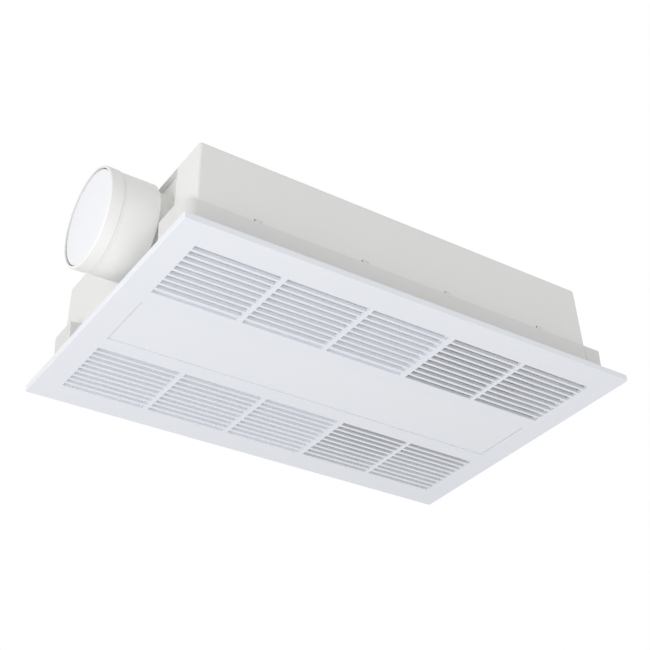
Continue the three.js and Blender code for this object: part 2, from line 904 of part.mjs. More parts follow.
function ductAdapter() {
  const tube = turnedOnDuct(
    [
      [ductBore, recessFloor],
      [ductNeck, recessFloor],
      [ductNeck, neckEnd],
      [ductTube, neckEnd],
      [ductTube, tubeEnd - ductRimStep],
      [ductRim, tubeEnd],
      [ductRim, rimEnd - ductRimEdge],
      [ductRim - ductRimEdge, rimEnd],
      [rimInner, rimEnd],
      [rimInner, tubeEnd],
      [ductTube - ductTubeWall, tubeEnd - ductRimStep],
      [ductTube - ductTubeWall, neckEnd + ductBackWall],
      [ductBore, neckEnd + ductBackWall],
      [ductBore, recessFloor],
    ],
    fineFacets,
  );
  const plateTop = housingInnerTop - ductPlateTopMargin;
  const plate = cut(
    plateAcross(recessOutline(ductPlateMargin, plateTop), -plateEnd, -recessFloor),
    rodAlongX(-plateEnd - overrun, overrun - recessFloor, ductY, ductZ, ductBore, fineFacets),
    ...ductScrewPlaces.map(ductScrewHole),
  );
  const stops = [-1, 1].map((side) => {
    const reach = rimInner - flapStopRadius / 2;
    const y = ductY + side * reach * Math.sin(flapStopAngle);
    const z = ductZ - reach * Math.cos(flapStopAngle);
    return rodAlongX(seatGap - flapBack, seatGap + 2 * flapStopRadius - flapBack, y, z, flapStopRadius);
  });
  const half = flapPinHalf + seatGap;
  const pinHole = rodAlongY(flapPinX, ductY - half, ductY + half, flapPinZ, flapPinRadius + seatGap);
  return cut(join(tube, plate, ...stops), pinHole);
}

function backdraftFlap() {
  const dome = flapDomeShares.map(([out, up]) => [flapRadius * out, flapFace + flapDome * up]);
  const disc = turnedOnDuct([[0, flapBack], [flapRadius, flapBack], [flapRadius, flapFace], ...dome], fineFacets);
  const knuckles = [-1, 1].map((side) => {
    const y = ductY + side * knucklePlace;
    const radius = flapPinRadius + seatGap + knuckleWall;
    return rodAlongY(flapPinX, y - knuckleLength / 2, y + knuckleLength / 2, flapPinZ, radius);
  });
  const bore = rodAlongY(flapPinX, ductY - flapRadius, ductY + flapRadius, flapPinZ, flapPinRadius + seatGap);
  return cut(join(disc, ...knuckles), bore);
}

add(heater, "duct_adapter", ductAdapter(), ductWhite);
add(heater, "backdraft_flap", backdraftFlap(), flapWhite);
const flapPin = rodAlongY(flapPinX, ductY - flapPinHalf, ductY + flapPinHalf, flapPinZ, flapPinRadius);
add(heater, "flap_pin", flapPin, zincSteel);

// Blowers, each about its own wheel axis, with the mouth towards the blower's own -X

// The scroll in plan: a spiral from the mouth's outer wall round to the tongue.
function scrollOutline(inset, mouthEnd) {
  const shape = new THREE.Shape();
  const outer = inset - scrollEnd;
  const inner = scrollMouth - scrollEnd - inset;
  const last = Math.PI + Math.asin(-inner / (scrollStart - inset));
  shape.moveTo(-mouthEnd, outer);
  for (let i = 0; i <= spiralSteps; i++) {
    const angle = -Math.PI / 2 + (i * (last + Math.PI / 2)) / spiralSteps;
    const radius = Math.max(scrollStart, scrollEnd - scrollGrowth * (angle + Math.PI / 2)) - inset;
    shape.lineTo(radius * Math.cos(angle), radius * Math.sin(angle));
  }
  shape.lineTo(-mouthEnd, inner);
  shape.closePath();
  return shape;
}

function motorScrewPlaces() {
  const places = [];
  for (let i = 0; i < motorScrews; i++) {
    const angle = Math.PI + (2 * Math.PI * i) / motorScrews;
    places.push([motorScrewPlace * Math.cos(angle), motorScrewPlace * Math.sin(angle)]);
  }
  return places;
}

function scroll(reach) {
  const screwHoles = motorScrewPlaces().map(([x, y]) =>
    rod(x, y, scrollInnerTop - overrun, scrollTop + overrun, screwShank + seatGap),
  );
  const bosses = bossAngles.map((angle) => {
    const x = bossPlace * Math.cos(angle);
    const y = bossPlace * Math.sin(angle);
    return cut(
      rod(x, y, scrollTop - bossSink, housingInnerTop, bossRadius),
      rod(x, y, housingInnerTop - bossGrip - seatGap, housingInnerTop + overrun, screwShank + seatGap),
    );
  });
  const shell = cut(
    prism(scrollOutline(0, reach - mouthGap), scrollBottom, scrollTop),
    prism(scrollOutline(scrollWall, reach + overrun), scrollBottom - overrun, scrollInnerTop),
    rod(0, 0, scrollInnerTop - overrun, scrollTop + overrun, leadHole),
    ...screwHoles,
  );
  return join(shell, ...bosses);
}

function inletRing(reach) {
  const top = deckTop + inletLipHeight;
  const plate = prism(scrollOutline(0, reach - mouthGap), deckTop, scrollBottom);
  const lip = rod(0, 0, deckTop, top, inletRadius, wheelFacets);
  return cut(join(plate, lip), rod(0, 0, deckTop - overrun, top + overrun, inletRadius - inletLip, wheelFacets));
}

// A ring about the blower's axis.
function ring(outer, inner, z0, z1) {
  return cut(rod(0, 0, z0, z1, outer, wheelFacets), rod(0, 0, z0 - overrun, z1 + overrun, inner, wheelFacets));
}

function impeller() {
  const inner = wheelRadius - wheelBladeDepth;
  const middle = wheelRadius - wheelBladeDepth / 2;
  const length = wheelBladeDepth / Math.cos(wheelBladeTurn) - wheelBladeSheet;
  const blades = [];
  for (let i = 0; i < wheelBlades; i++) {
    const blade = new THREE.BoxGeometry(length, wheelBladeSheet, wheelTop - wheelBottom - wheelRing);
    blade.rotateZ(wheelBladeTurn).translate(middle, 0, (wheelTop + wheelBottom) / 2);
    blades.push(solid(blade.rotateZ((2 * Math.PI * i) / wheelBlades)));
  }
  const wheel = join(
    ring(wheelRadius, inner, wheelBottom, wheelBottom + wheelRing),
    ring(wheelRadius, inner, wheelTop - wheelRing, wheelTop),
    rod(0, 0, hubTop - wheelDisc, hubTop, wheelRadius, wheelFacets),
    rod(0, 0, hubBottom, hubTop, hubRadius, midFacets),
    ...blades,
  );
  return cut(wheel, rod(0, 0, hubBottom - overrun, hubTop + overrun, shaftRadius + seatGap));
}

function motor() {
  const flangeBottom = scrollInnerTop - motorFlangePlate;
  const body = turned(
    [
      [0, shaftTop + seatGap],
      [shaftRadius + seatGap, shaftTop + seatGap],
      [shaftRadius + seatGap, motorBossBottom],
      [motorBoss, motorBossBottom],
      [motorBoss, motorBottom],
      [motorRadius - motorEdge, motorBottom],
      [motorRadius, motorBottom + motorEdge],
      [motorRadius, flangeBottom],
      [motorFlange, flangeBottom],
      [motorFlange, scrollInnerTop],
      [0, scrollInnerTop],
    ],
    midFacets,
  );
  const holes = motorScrewPlaces().map(([x, y]) =>
    rod(x, y, flangeBottom - overrun, scrollInnerTop + overrun, screwShank + seatGap),
  );
  return cut(body, ...holes);
}

function hubNut() {
  return cut(
    rod(0, 0, hubBottom - nutHeight, hubBottom, nutRadius, hexFacets),
    rod(0, 0, hubBottom - nutHeight - overrun, hubBottom + overrun, shaftRadius + seatGap),
  );
}

function addBlower(group, kind, reach) {
  add(group, `${kind}_scroll`, scroll(reach), zincSteel);
  add(group, `${kind}_inlet_ring`, inletRing(reach), zincSteel);
  add(group, `${kind}_wheel`, impeller(), wheelBlack);
  add(group, `${kind}_shaft`, rod(0, 0, hubBottom - nutHeight - shaftTip, shaftTop, shaftRadius), zincSteel);
  add(group, `${kind}_hub_nut`, hubNut(), zincSteel);
  add(group, `${kind}_motor`, motor(), partsBlack);
  motorScrewPlaces().forEach(([x, y], i) => {
    const mesh = add(group, `${kind}_motor_screw_${i + 1}`, screw(motorScrewLength), zincSteel);
    mesh.position.set(x, y, scrollTop);
  });
}

addBlower(exhaustBlower, "exhaust", exhaustReach);
addBlower(circulationBlower, "circulation", circulationReach);

// Hot-air outlet

function outletDuct() {
  const mouthRight = circulationX + scrollEnd - scrollWall;
  const mouthLeft = circulationX + scrollEnd - scrollMouth + scrollWall;
  return cut(
    block(outletLeft, outletRight, outletNear, outletFar, deckTop, scrollTop),
    block(
      outletLeft + outletWall,
      outletRight - outletWall,
      outletNear + outletWall,
      outletFar - outletWall,
      deckTop - overrun,
      scrollInnerTop,
    ),
    block(mouthLeft, mouthRight, outletFar - outletWall - overrun, outletFar + overrun, scrollBottom, scrollInnerTop),
  );
}

function heaterFrame() {
  const top = deckTop + heaterHeight;
  const sides = [
    heaterLeft + heaterSheet,
    heaterRight - heaterSheet,
    heaterNear + heaterSheet,
    heaterFar - heaterSheet,
  ];
  return cut(
    block(heaterLeft, heaterRight, heaterNear, heaterFar, deckTop, top),
    block(...sides, coreBottom, top + overrun),
    block(...sides, deckTop - overrun, deckTop + heaterLedgeRise),
    block(airLeft, airRight, airNear, airFar, deckTop, top),
  );
}

function heaterCore() {
  const x0 = heaterLeft + heaterSheet + seatGap;
  const x1 = heaterRight - heaterSheet - seatGap;
  const y0 = heaterNear + heaterSheet + seatGap;
  const y1 = heaterFar - heaterSheet - seatGap;
  const top = coreBottom + coreHeight;
  const ways = gridWays([x0, x1, y0, y1], coreBorder, coreBar, coreColumns, coreRows);
  return pierced(block(x0, x1, y0, y1, coreBottom, top), ways, coreBottom, top);
}

function outletGuide() {
  const lap = guideWall + guideFlange;
  const low = deckBottom - guideDrop;
  const around = (by) => [airLeft - by, airRight + by, airNear - by, airFar + by];
  const walls = block(...around(guideWall), low, deckBottom);
  const flange = block(...around(lap), deckBottom - guideWall, deckBottom);
  return cut(join(walls, flange), block(...around(0), low - overrun, deckBottom + overrun));
}

const thermostatX = outletLeft + thermostatInset;
const thermostatY = outletFar - thermostatPlaceShare * (outletFar - outletNear);

function thermostat() {
  const flangeTop = scrollTop + thermostatFlangePlate;
  return join(
    rod(thermostatX, thermostatY, scrollTop, flangeTop, thermostatFlange, midFacets),
    rod(thermostatX, thermostatY, scrollTop, scrollTop + thermostatHeight, thermostatRadius, midFacets),
  );
}

function thermalFuse() {
  const x = thermostatX + fusePlace;
  const y = thermostatY - fuseLength / 2;
  return join(
    block(x - fuseRadius, x + fuseRadius, y, y + fuseLength, scrollTop, scrollTop + fuseFoot),
    rodAlongY(x, y, y + fuseLength, scrollTop + fuseFoot, fuseRadius),
  );
}

add(heater, "outlet_duct", outletDuct(), zincSteel);
add(heater, "heater_frame", heaterFrame(), zincSteel);
add(heater, "heater_core", heaterCore(), aluminium);
add(heater, "outlet_guide", outletGuide(), partsWhite);
add(heater, "thermostat", thermostat(), partsBlack);
add(heater, "thermal_fuse", thermalFuse(), partsWhite);

// Control box, board and parts

// The three leads leave the box through its side walls, one place after another.
const leadRoutes = {
  exhaust: { side: -1, y: boxNear + leadNearPlace + leadStep, to: [exhaustX, exhaustY] },
  circulation: { side: 1, y: boxNear + leadNearPlace + 2 * leadStep, to: [circulationX, circulationY] },
  heater: { side: 1, y: boxNear + leadNearPlace, to: [thermostatX, thermostatY] },
};

function boardPostPlaces() {
  const inset = boxWall + boardMargin + boardPostInset;
  return [boxLeft + inset, boxRight - inset].flatMap((x) => [boxNear + inset, boxFar - inset].map((y) => [x, y]));
}

function controlBox() {
  const posts = boardPostPlaces().map(([x, y]) => rod(x, y, deckTop + boxWall / 2, boardZ, boardPost));
  const holes = Object.values(leadRoutes).map(({ side, y }) => {
    const x = side < 0 ? boxLeft : boxRight;
    return rodAlongX(x - boxWall - overrun, x + boxWall + overrun, y, boardTop + leadRise, leadHole);
  });
  const tray = cut(
    block(boxLeft, boxRight, boxNear, boxFar, deckTop, boxTop),
    block(
      boxLeft + boxWall,
      boxRight - boxWall,
      boxNear + boxWall,
      boxFar - boxWall,
      deckTop + boxWall,
      boxTop + overrun,
    ),
    ...holes,
  );
  return join(tray, ...posts);
}

function controlCover() {
  const inset = boxWall + seatGap;
  const within = (by) => [boxLeft + by, boxRight - by, boxNear + by, boxFar - by];
  const lip = cut(
    block(...within(inset), boxTop - coverLip, boxTop + coverPlate / 2),
    block(...within(inset + boxWall), boxTop - coverLip - overrun, boxTop),
  );
  return join(block(...within(0), boxTop, boxTop + coverPlate), lip);
}

function controlBoard() {
  const inset = boxWall + boardMargin;
  return block(boxLeft + inset, boxRight - inset, boxNear + inset, boxFar - inset, boardZ, boardTop);
}

// A place along the box, as a share of its length.
const boxPlace = (share) => boxNear + share * (boxFar - boxNear);

function relay(index) {
  const y = boxPlace(relayPlaceShares[index]);
  const halfX = relayLength / 2;
  const halfY = relayWidth / 2;
  return block(boxMiddle - halfX, boxMiddle + halfX, y - halfY, y + halfY, boardTop, boardTop + relayHeight);
}

function terminalBlock() {
  const y = boxFar - boxWall - boardMargin - terminalInset;
  const top = boardTop + terminalHeight;
  const halfX = terminalLength / 2;
  const halfY = terminalWidth / 2;
  const body = block(boxMiddle - halfX, boxMiddle + halfX, y - halfY, y + halfY, boardTop, top);
  const wells = [];
  for (let i = 0; i < terminalWays; i++) {
    const x = boxMiddle - halfX + ((i + 1 / 2) * terminalLength) / terminalWays;
    wells.push(rod(x, y, top - terminalDepth, top + overrun, terminalBore));
  }
  return cut(body, ...wells);
}

add(heater, "control_box", controlBox(), partsWhite);
add(heater, "control_cover", controlCover(), partsWhite);
add(heater, "control_board", controlBoard(), boardGreen);
add(heater, "relay_exhaust", relay(0), partsBlack);
add(heater, "relay_heater", relay(1), partsBlack);
const capacitorY = boxPlace(capacitorPlaceShare);
const runCapacitor = rod(boxMiddle, capacitorY, boardTop, boardTop + capacitorHeight, capacitorRadius, midFacets);
add(heater, "run_capacitor", runCapacitor, partsWhite);
add(heater, "terminal_block", terminalBlock(), partsWhite);

// Leads: straight runs with round elbows, from the board to what they feed

const elbow = (at) =>
  solid(new THREE.SphereGeometry(leadRadius, leadFacets, leadFacets).translate(at.x, at.y, at.z));

function lead({ side, y, to }, end) {
  const wall = side < 0 ? boxLeft : boxRight;
  const inside = wall - side * leadEndInset;
  const outside = wall + side * leadOutset;
  const height = boardTop + leadRise;
  const route = [
    [inside, y, boardTop + seatGap],
    [inside, y, height],
    [outside, y, height],
    [outside, y, leadTopZ],
    [to[0], to[1], leadTopZ],
    [to[0], to[1], end + seatGap],
  ].map((place) => new THREE.Vector3(...place));
  const runs = route.slice(1).map((point, i) => rodBetween(route[i], point, leadRadius, leadFacets));
  return join(...runs, ...route.slice(1, -1).map(elbow));
}

add(heater, "exhaust_lead", lead(leadRoutes.exhaust, scrollInnerTop), leadGrey);
add(heater, "circulation_lead", lead(leadRoutes.circulation, scrollInnerTop), leadGrey);
add(heater, "heater_lead", lead(leadRoutes.heater, scrollTop + thermostatHeight), leadGrey);

// Cable gland

const wallFace = housingHalfY;
const wallBack = housingHalfY - housingWall - housingDraftY;
const turnedOnGland = (profile) => solid(latheOf(profile, midFacets).translate(boxMiddle, 0, glandZ));

function cableGland() {
  const inEnd = wallBack - glandThread;
  const outEnd = wallFace + glandHeadLength;
  return turnedOnGland([
    [glandBore, inEnd],
    [glandRadius, inEnd],
    [glandRadius, wallFace],
    [glandHead, wallFace],
    [glandHead, wallFace + glandHeadLength / 2],
    [glandRadius, outEnd],
    [glandBore, outEnd],
    [glandBore, inEnd],
  ]);
}

function glandLockNut() {
  const hole = glandRadius + seatGap;
  const end = wallBack - glandNutLength;
  return turnedOnGland([
    [hole, end],
    [glandNut, end],
    [glandNut, wallBack],
    [hole, wallBack],
    [hole, end],
  ]);
}

add(heater, "cable_gland", cableGland(), partsBlack);
add(heater, "gland_nut", glandLockNut(), partsBlack);

export default heater;
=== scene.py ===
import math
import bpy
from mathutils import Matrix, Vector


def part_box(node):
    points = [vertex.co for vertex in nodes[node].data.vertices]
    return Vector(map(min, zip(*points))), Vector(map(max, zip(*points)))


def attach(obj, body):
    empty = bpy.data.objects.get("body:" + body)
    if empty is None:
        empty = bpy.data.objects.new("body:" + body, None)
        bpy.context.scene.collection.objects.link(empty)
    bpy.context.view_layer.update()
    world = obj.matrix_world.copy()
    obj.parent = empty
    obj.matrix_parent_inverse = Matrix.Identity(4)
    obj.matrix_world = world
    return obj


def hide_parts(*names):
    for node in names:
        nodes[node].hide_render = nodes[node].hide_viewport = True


bl_info = {
    "name": "Bathroom Ceiling Heater",
    "version": (1, 0, 0),
    "blender": (4, 5, 0),
    "location": "View3D > Sidebar > Heater",
    "description": "Dresses the ceiling heater: panel, housing, duct, flap, filters and heater core",
    "category": "Object",
}

import bmesh
import bpy
from mathutils import Matrix, Vector

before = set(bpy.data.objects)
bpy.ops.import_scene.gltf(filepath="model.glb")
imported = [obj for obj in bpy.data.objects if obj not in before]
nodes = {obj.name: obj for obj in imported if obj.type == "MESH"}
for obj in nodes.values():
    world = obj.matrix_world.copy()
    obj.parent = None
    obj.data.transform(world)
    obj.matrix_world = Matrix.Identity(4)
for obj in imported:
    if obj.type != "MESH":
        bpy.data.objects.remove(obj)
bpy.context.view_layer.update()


def box_of(node):
    """Lowest and highest corner of a CAD node."""
    return [Vector(corner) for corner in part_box(node)]


def middle_of(node):
    """Middle of a CAD node's box."""
    return [(low + high) / 2 for low, high in zip(*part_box(node))]


panel_low, panel_high = box_of("front_panel")
housing_low, housing_high = box_of("upper_housing")
duct_low, duct_high = box_of("duct_adapter")
strip_low, strip_high = box_of("centre_strip")
gland_low, gland_high = box_of("cable_gland")

TINY = 1e-6
SCREW_HOLE = 0.002
HEAD_HOLE = 0.0037
GLAND_HOLE = 0.0103
PIN_ROOM = 0.0003
FLAT_ANGLE = math.radians(0.5)
BEVEL_ANGLE = math.radians(35)
SMOOTH_ANGLE = math.radians(50)
SCREW_ANGLE = math.radians(40)
HOUSING_SCREWS = [f"housing_screw_{i}" for i in range(1, 5)]
MOTOR_SCREWS = [f"{kind}_motor_screw_{i}" for kind in ("exhaust", "circulation") for i in range(1, 4)]
DUCT_SCREWS = [f"duct_screw_{i}" for i in range(1, 4)]
CLIP_SIDES = ("left", "right", "near")
GRAIN_SOCKETS = {
    "INPUT": {"Place": "Vector", "Light Colour": "Color", "Dark Colour": "Color"},
    "OUTPUT": {"Colour": "Color", "Roughness": "Float", "Height": "Float"},
}
GRAIN_NUMBERS = ("Mottle Scale", "Grain Scale", "Smooth", "Rough")


# Property helpers


def length(name, description, default):
    return bpy.props.FloatProperty(
        name=name,
        description=description,
        default=default,
        min=0,
        unit="LENGTH",
        subtype="DISTANCE",
        precision=4,
    )


def count(name, description, default):
    return bpy.props.IntProperty(name=name, description=description, default=default, min=1)


def colour(name, description, default):
    return bpy.props.FloatVectorProperty(
        name=name, description=description, default=default, size=3, min=0, max=1, subtype="COLOR"
    )


def amount(name, description, default):
    return bpy.props.FloatProperty(name=name, description=description, default=default, min=0)


class HeaterPanelSettings(bpy.types.PropertyGroup):
    face: length("Face", "Thickness of the panel's face", 0.0045)
    skirt: length("Skirt", "Thickness of the panel's skirt", 0.003)
    skirt_height: length("Skirt height", "Height of the panel's skirt", 0.0084)
    corner: length("Corner", "Radius of the panel's corners", 0.0012)
    rim_radius: length("Rim radius", "Rounding of the panel's outer edge", 0.0008)
    slot_radius: length("Slot radius", "Rounding of the slots' edges", 0.00025)
    slot_pitch: length("Slot pitch", "From one slot to the next", 0.0102)
    slot_width: length("Slot width", "Width of one slot", 0.0066)
    slots_per_cell: count("Slots", "Slots in one cell", 10)
    wide_cell: length("Wide cell", "Length of the slots at the intake", 0.10889)
    wide_bar: length("Wide bar", "Bar between two wide cells", 0.006)
    wide_cells: count("Wide cells", "Cells in the intake group", 3)
    narrow_cell: length("Narrow cell", "Length of the slots at the outlet", 0.101815)
    narrow_bar: length("Narrow bar", "Bar between two narrow cells", 0.0055)
    narrow_cells: count("Narrow cells", "Cells in the outlet group", 2)
    group_bar: length("Group bar", "Bar between the two groups of cells", 0.0072)
    row_centre: length("Row centre", "From the panel's middle to the middle of a row of cells", 0.11503)
    pocket_gap: length("Pocket gap", "Gap round the centre strip", 0.0003)
    strip_end_gap: length("Strip end gap", "How much wider the gap is at the strip's ends", 0.0006)
    pocket_floor: length("Pocket floor", "Thickness behind the centre strip", 0.002)
    pocket_rim: length("Pocket rim", "Width of the pocket's wall", 0.003)
    strip_corner: length("Strip corner", "Radius of the strip's corners", 0.0008)
    blade_width: length("Blade width", "Width of a retaining blade", 0.014)
    blade_sheet: length("Blade sheet", "Thickness of a retaining blade", 0.002)
    filter_frame: length("Filter frame", "Width of a filter's border", 0.007)
    filter_sheet: length("Filter sheet", "Thickness of a filter's net", 0.0005)
    panel_colour: colour("Panel colour", "Cool white of the panel", (0.83, 0.85, 0.9))
    strip_colour: colour("Strip colour", "Cool white of the centre strip", (0.84, 0.86, 0.9))
    filter_colour: colour("Filter colour", "Grey of the filter net", (0.87, 0.88, 0.91))


class HeaterShellSettings(bpy.types.PropertyGroup):
    wall: length("Wall", "Wall of the upper housing", 0.0024)
    draft_x: length("Draft at the ends", "How far each end wall leans in", 0.0034)
    draft_y: length("Draft at the sides", "How far each long wall leans in", 0.0012)
    corner: length("Corner", "Radius of the housing's upright edges", 0.004)
    top_edge: length("Top edge", "Radius of the housing's top edge", 0.0036)
    edge: length("Edge", "Rounding of all other edges", 0.0004)
    recess_radius: length("Recess radius", "Radius of the recess round the duct", 0.062)
    recess_floor: length("Recess floor", "From the middle to the recess's floor", 0.2675)
    recess_plate: length("Recess plate", "Thickness of the recess's floor", 0.0024)
    recess_rim: length("Recess rim", "Width of the recess's wall", 0.003)
    hook_place: length("Outer hook", "From the middle to an outer hook", 0.203)
    hook_inner: length("Inner hook", "From the middle to an inner hook", 0.06)
    hook_window: length("Hook window", "Width of a hook's window", 0.0092)
    hook_height: length("Hook height", "Height of a hook's window", 0.0041)
    shell_colour: colour("Shell colour", "Neutral white of the housing", (0.825, 0.825, 0.812))
    # The base frame's white is darker than the housing's as painted shade: it stands in for the shadow that
    # the panel's overhang casts on the frame's walls.
    frame_colour: colour("Frame shaded colour", "White of the base frame, darkened as painted shade", (0.75, 0.755, 0.74))


class HeaterDuctSettings(bpy.types.PropertyGroup):
    bore: length("Bore", "Radius of the neck's bore", 0.05)
    neck: length("Neck", "Radius of the neck", 0.053)
    tube: length("Tube", "Radius of the tube", 0.0592)
    rim: length("Rim", "Radius of the rim", 0.0603)
    rim_wall: length("Rim wall", "Thickness of the rim", 0.0028)
    rim_length: length("Rim length", "Length of the rim", 0.0153)
    rim_edge: length("Rim edge", "Rounding of the rim's end", 0.002)
    tube_wall: length("Tube wall", "Thickness of the tube", 0.0025)
    tube_length: length("Tube length", "Length of the tube", 0.0453)
    plate: length("Plate", "Thickness of the mounting plate", 0.0025)
    plate_radius: length("Plate radius", "Radius of the mounting plate", 0.0612)
    pin_radius: length("Pin radius", "Radius of the flap's pin", 0.0012)
    flap_sheet: length("Flap sheet", "Thickness of the flap", 0.0018)
    flap_edge: length("Flap edge", "How far the flap's rim reaches past its solid", 0.0002)
    flap_dome: length("Flap dome", "How far the flap's middle bulges out", 0.0012)
    duct_colour: colour("Duct colour", "Warm white of the duct", (0.87, 0.866, 0.85))
    flap_colour: colour("Flap colour", "Cool white of the flap", (0.86, 0.87, 0.9))


class HeaterStageSettings(bpy.types.PropertyGroup):
    floor_drop: length("Floor drop", "From the ceiling's plane down to the floor", 2.0)
    floor_size: length("Floor size", "Side of the floor", 12.0)
    lens: amount("Lens", "Focal length in millimetres", 74.042)
    world: amount("World", "Strength of the even light", 0.62)
    key: amount("Key", "Power of the lamp that lights the duct's end", 5.5)
    low: amount("Low", "Power of the lamp that lights the duct from below", 14.0)
    under: amount("Under", "Power of the lamp that lights the panel", 11.5)
    side: amount("Side", "Power of the lamp that lights the long wall", 3.2)


# Modelling helpers


def leave_edit():
    if bpy.context.mode != "OBJECT":
        bpy.ops.object.mode_set(mode="OBJECT")


def deselect():
    leave_edit()
    bpy.ops.object.select_all(action="DESELECT")


def only(piece):
    deselect()
    piece.select_set(True)
    bpy.context.view_layer.objects.active = piece


def entered(piece):
    """Enters edit mode with the whole mesh selected."""
    only(piece)
    bpy.ops.object.mode_set(mode="EDIT")
    bpy.ops.mesh.select_all(action="SELECT")


def settled(piece, name):
    """Names a fresh piece and puts its place, turn and scale into its mesh."""
    piece.name = name
    piece.data.name = name
    only(piece)
    bpy.ops.object.transform_apply(location=True, rotation=True, scale=True)
    return piece


def block(name, low, high):
    low, high = Vector(low), Vector(high)
    bpy.ops.mesh.primitive_cube_add(size=1, location=(low + high) / 2, scale=high - low)
    return settled(bpy.context.object, name)


def cone(name, start_radius, end_radius, start, end, sides=64):
    """A round bar from one point to another, with a radius at each end."""
    start, end = Vector(start), Vector(end)
    along = end - start
    bpy.ops.mesh.primitive_cone_add(
        vertices=sides,
        radius1=start_radius,
        radius2=end_radius,
        depth=along.length,
        location=(start + end) / 2,
        rotation=along.to_track_quat("Z", "Y").to_euler(),
    )
    return settled(bpy.context.object, name)


def drum(name, radius, start, end, sides=64):
    return cone(name, radius, radius, start, end, sides)


def turned(name, profile, base, direction, sides=96):
    """A ring turned from a closed profile of (radius, distance) points, each extruded from the last."""
    deselect()
    bpy.ops.mesh.primitive_circle_add(vertices=sides, radius=profile[0][0], location=(0, 0, profile[0][1]))
    piece = bpy.context.object
    entered(settled(piece, name))
    radius, place = profile[0]
    for next_radius, next_place in profile[1:] + profile[:1]:
        bpy.ops.mesh.extrude_region()
        bpy.ops.transform.translate(value=(0, 0, next_place - place))
        share = next_radius / radius
        bpy.ops.transform.resize(value=(share, share, 1), center_override=(0, 0, next_place))
        radius, place = next_radius, next_place
    bpy.ops.mesh.select_all(action="SELECT")
    bpy.ops.mesh.remove_doubles(threshold=TINY)
    bpy.ops.mesh.select_all(action="SELECT")
    bpy.ops.mesh.delete_loose()
    bpy.ops.mesh.select_all(action="SELECT")
    bpy.ops.mesh.normals_make_consistent(inside=False)
    leave_edit()
    piece.rotation_euler = Vector(direction).to_track_quat("Z", "Y").to_euler()
    piece.location = base
    return settled(piece, name)


def choose(piece, kind, test):
    """Enters edit mode with only those faces, edges or vertices selected that the test passes."""
    only(piece)
    bpy.ops.object.mode_set(mode="EDIT")
    bpy.ops.mesh.select_mode(type={"faces": "FACE", "edges": "EDGE", "verts": "VERT"}[kind])
    bpy.ops.mesh.select_all(action="DESELECT")
    mesh = bmesh.from_edit_mesh(piece.data)
    for part in getattr(mesh, kind):
        if test(part):
            part.select_set(True)
    mesh.select_flush_mode()
    bmesh.update_edit_mesh(piece.data)


def round_edges(piece, test, radius, segments=5):
    choose(piece, "edges", test)
    bpy.ops.mesh.bevel(offset=radius, offset_pct=0, segments=segments, profile=0.5, affect="EDGES")
    leave_edit()


def is_upright(edge):
    first, last = (vert.co for vert in edge.verts)
    return abs((first - last).normalized().z) > 0.9


def is_above(edge, height):
    return all(vert.co.z > height - TINY for vert in edge.verts)


def joined(first, *others):
    deselect()
    for piece in (first, *others):
        piece.select_set(True)
    bpy.context.view_layer.objects.active = first
    if others:
        bpy.ops.object.join()
    return first


def copied(piece, offset):
    """A copy with its own mesh, moved by an offset."""
    only(piece)
    bpy.ops.object.duplicate()
    copy = bpy.context.object
    copy.location = offset
    return settled(copy, piece.name)


def worked(piece, kind, **values):
    """Adds a modifier with its values and applies it."""
    only(piece)
    modifier = piece.modifiers.new(kind.title(), kind)
    for name, value in values.items():
        setattr(modifier, name, value)
    bpy.ops.object.modifier_apply(modifier=modifier.name)
    return piece


def repeated(piece, many, step):
    """A row of a piece, each a step on from the last."""
    return worked(
        piece,
        "ARRAY",
        count=many,
        use_relative_offset=False,
        use_constant_offset=True,
        constant_offset_displace=step,
    )


def carved(piece, *tools, operation="DIFFERENCE"):
    for tool in tools:
        worked(piece, "BOOLEAN", object=tool, operation=operation, solver="EXACT")
        bpy.data.objects.remove(tool, do_unlink=True)
    return piece


def fused(piece, *others):
    return carved(piece, *others, operation="UNION")


def softened(piece, radius, segments=2):
    """Rounds every sharp edge a little and keeps the flats flat."""
    worked(piece, "BEVEL", width=radius, segments=segments, limit_method="ANGLE", angle_limit=BEVEL_ANGLE)
    only(piece)
    bpy.ops.object.shade_smooth_by_angle(angle=SMOOTH_ANGLE)
    return worked(piece, "WEIGHTED_NORMAL", keep_sharp=True)


def dressed(piece, body, material, slot, *replaced):
    piece.data.materials.clear()
    piece.data.materials.append(material)
    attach(piece, body)
    if replaced:
        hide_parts(*replaced)
    return piece


def merged_copy(node, name):
    """A copy of a CAD node's mesh, merged and with its flat faces made whole."""
    only(nodes[node])
    bpy.ops.object.duplicate()
    piece = bpy.context.object
    entered(settled(piece, name))
    bpy.ops.mesh.remove_doubles(threshold=TINY)
    bpy.ops.mesh.dissolve_limited(angle_limit=FLAT_ANGLE)
    leave_edit()
    return piece


# Materials


def added(tree, kind, **values):
    """A new node with its inputs set by their names, where an underscore stands for a space."""
    node = tree.nodes.new(kind)
    for name, value in values.items():
        node.inputs[name.replace("_", " ")].default_value = value
    return node


def textured(tree, kind, place, **values):
    """A new texture node with its inputs set, laid out on a place."""
    node = added(tree, kind, **values)
    tree.links.new(place, node.inputs["Vector"])
    return node


def tinted(tree, shader, factor, first, second):
    """Lets a factor mix the shader's colour from two."""
    blend = tree.nodes.new("ShaderNodeMix")
    blend.data_type = "RGBA"
    blend.inputs["A"].default_value = (*first, 1)
    blend.inputs["B"].default_value = (*second, 1)
    tree.links.new(factor, blend.inputs["Factor"])
    tree.links.new(blend.outputs["Result"], shader.inputs["Base Color"])


def glossed(tree, shader, factor, smooth, rough):
    """Lets a factor set the shader's roughness between two values."""
    gloss = added(tree, "ShaderNodeMapRange", To_Min=smooth, To_Max=rough)
    tree.links.new(factor, gloss.inputs["Value"])
    tree.links.new(gloss.outputs["Result"], shader.inputs["Roughness"])


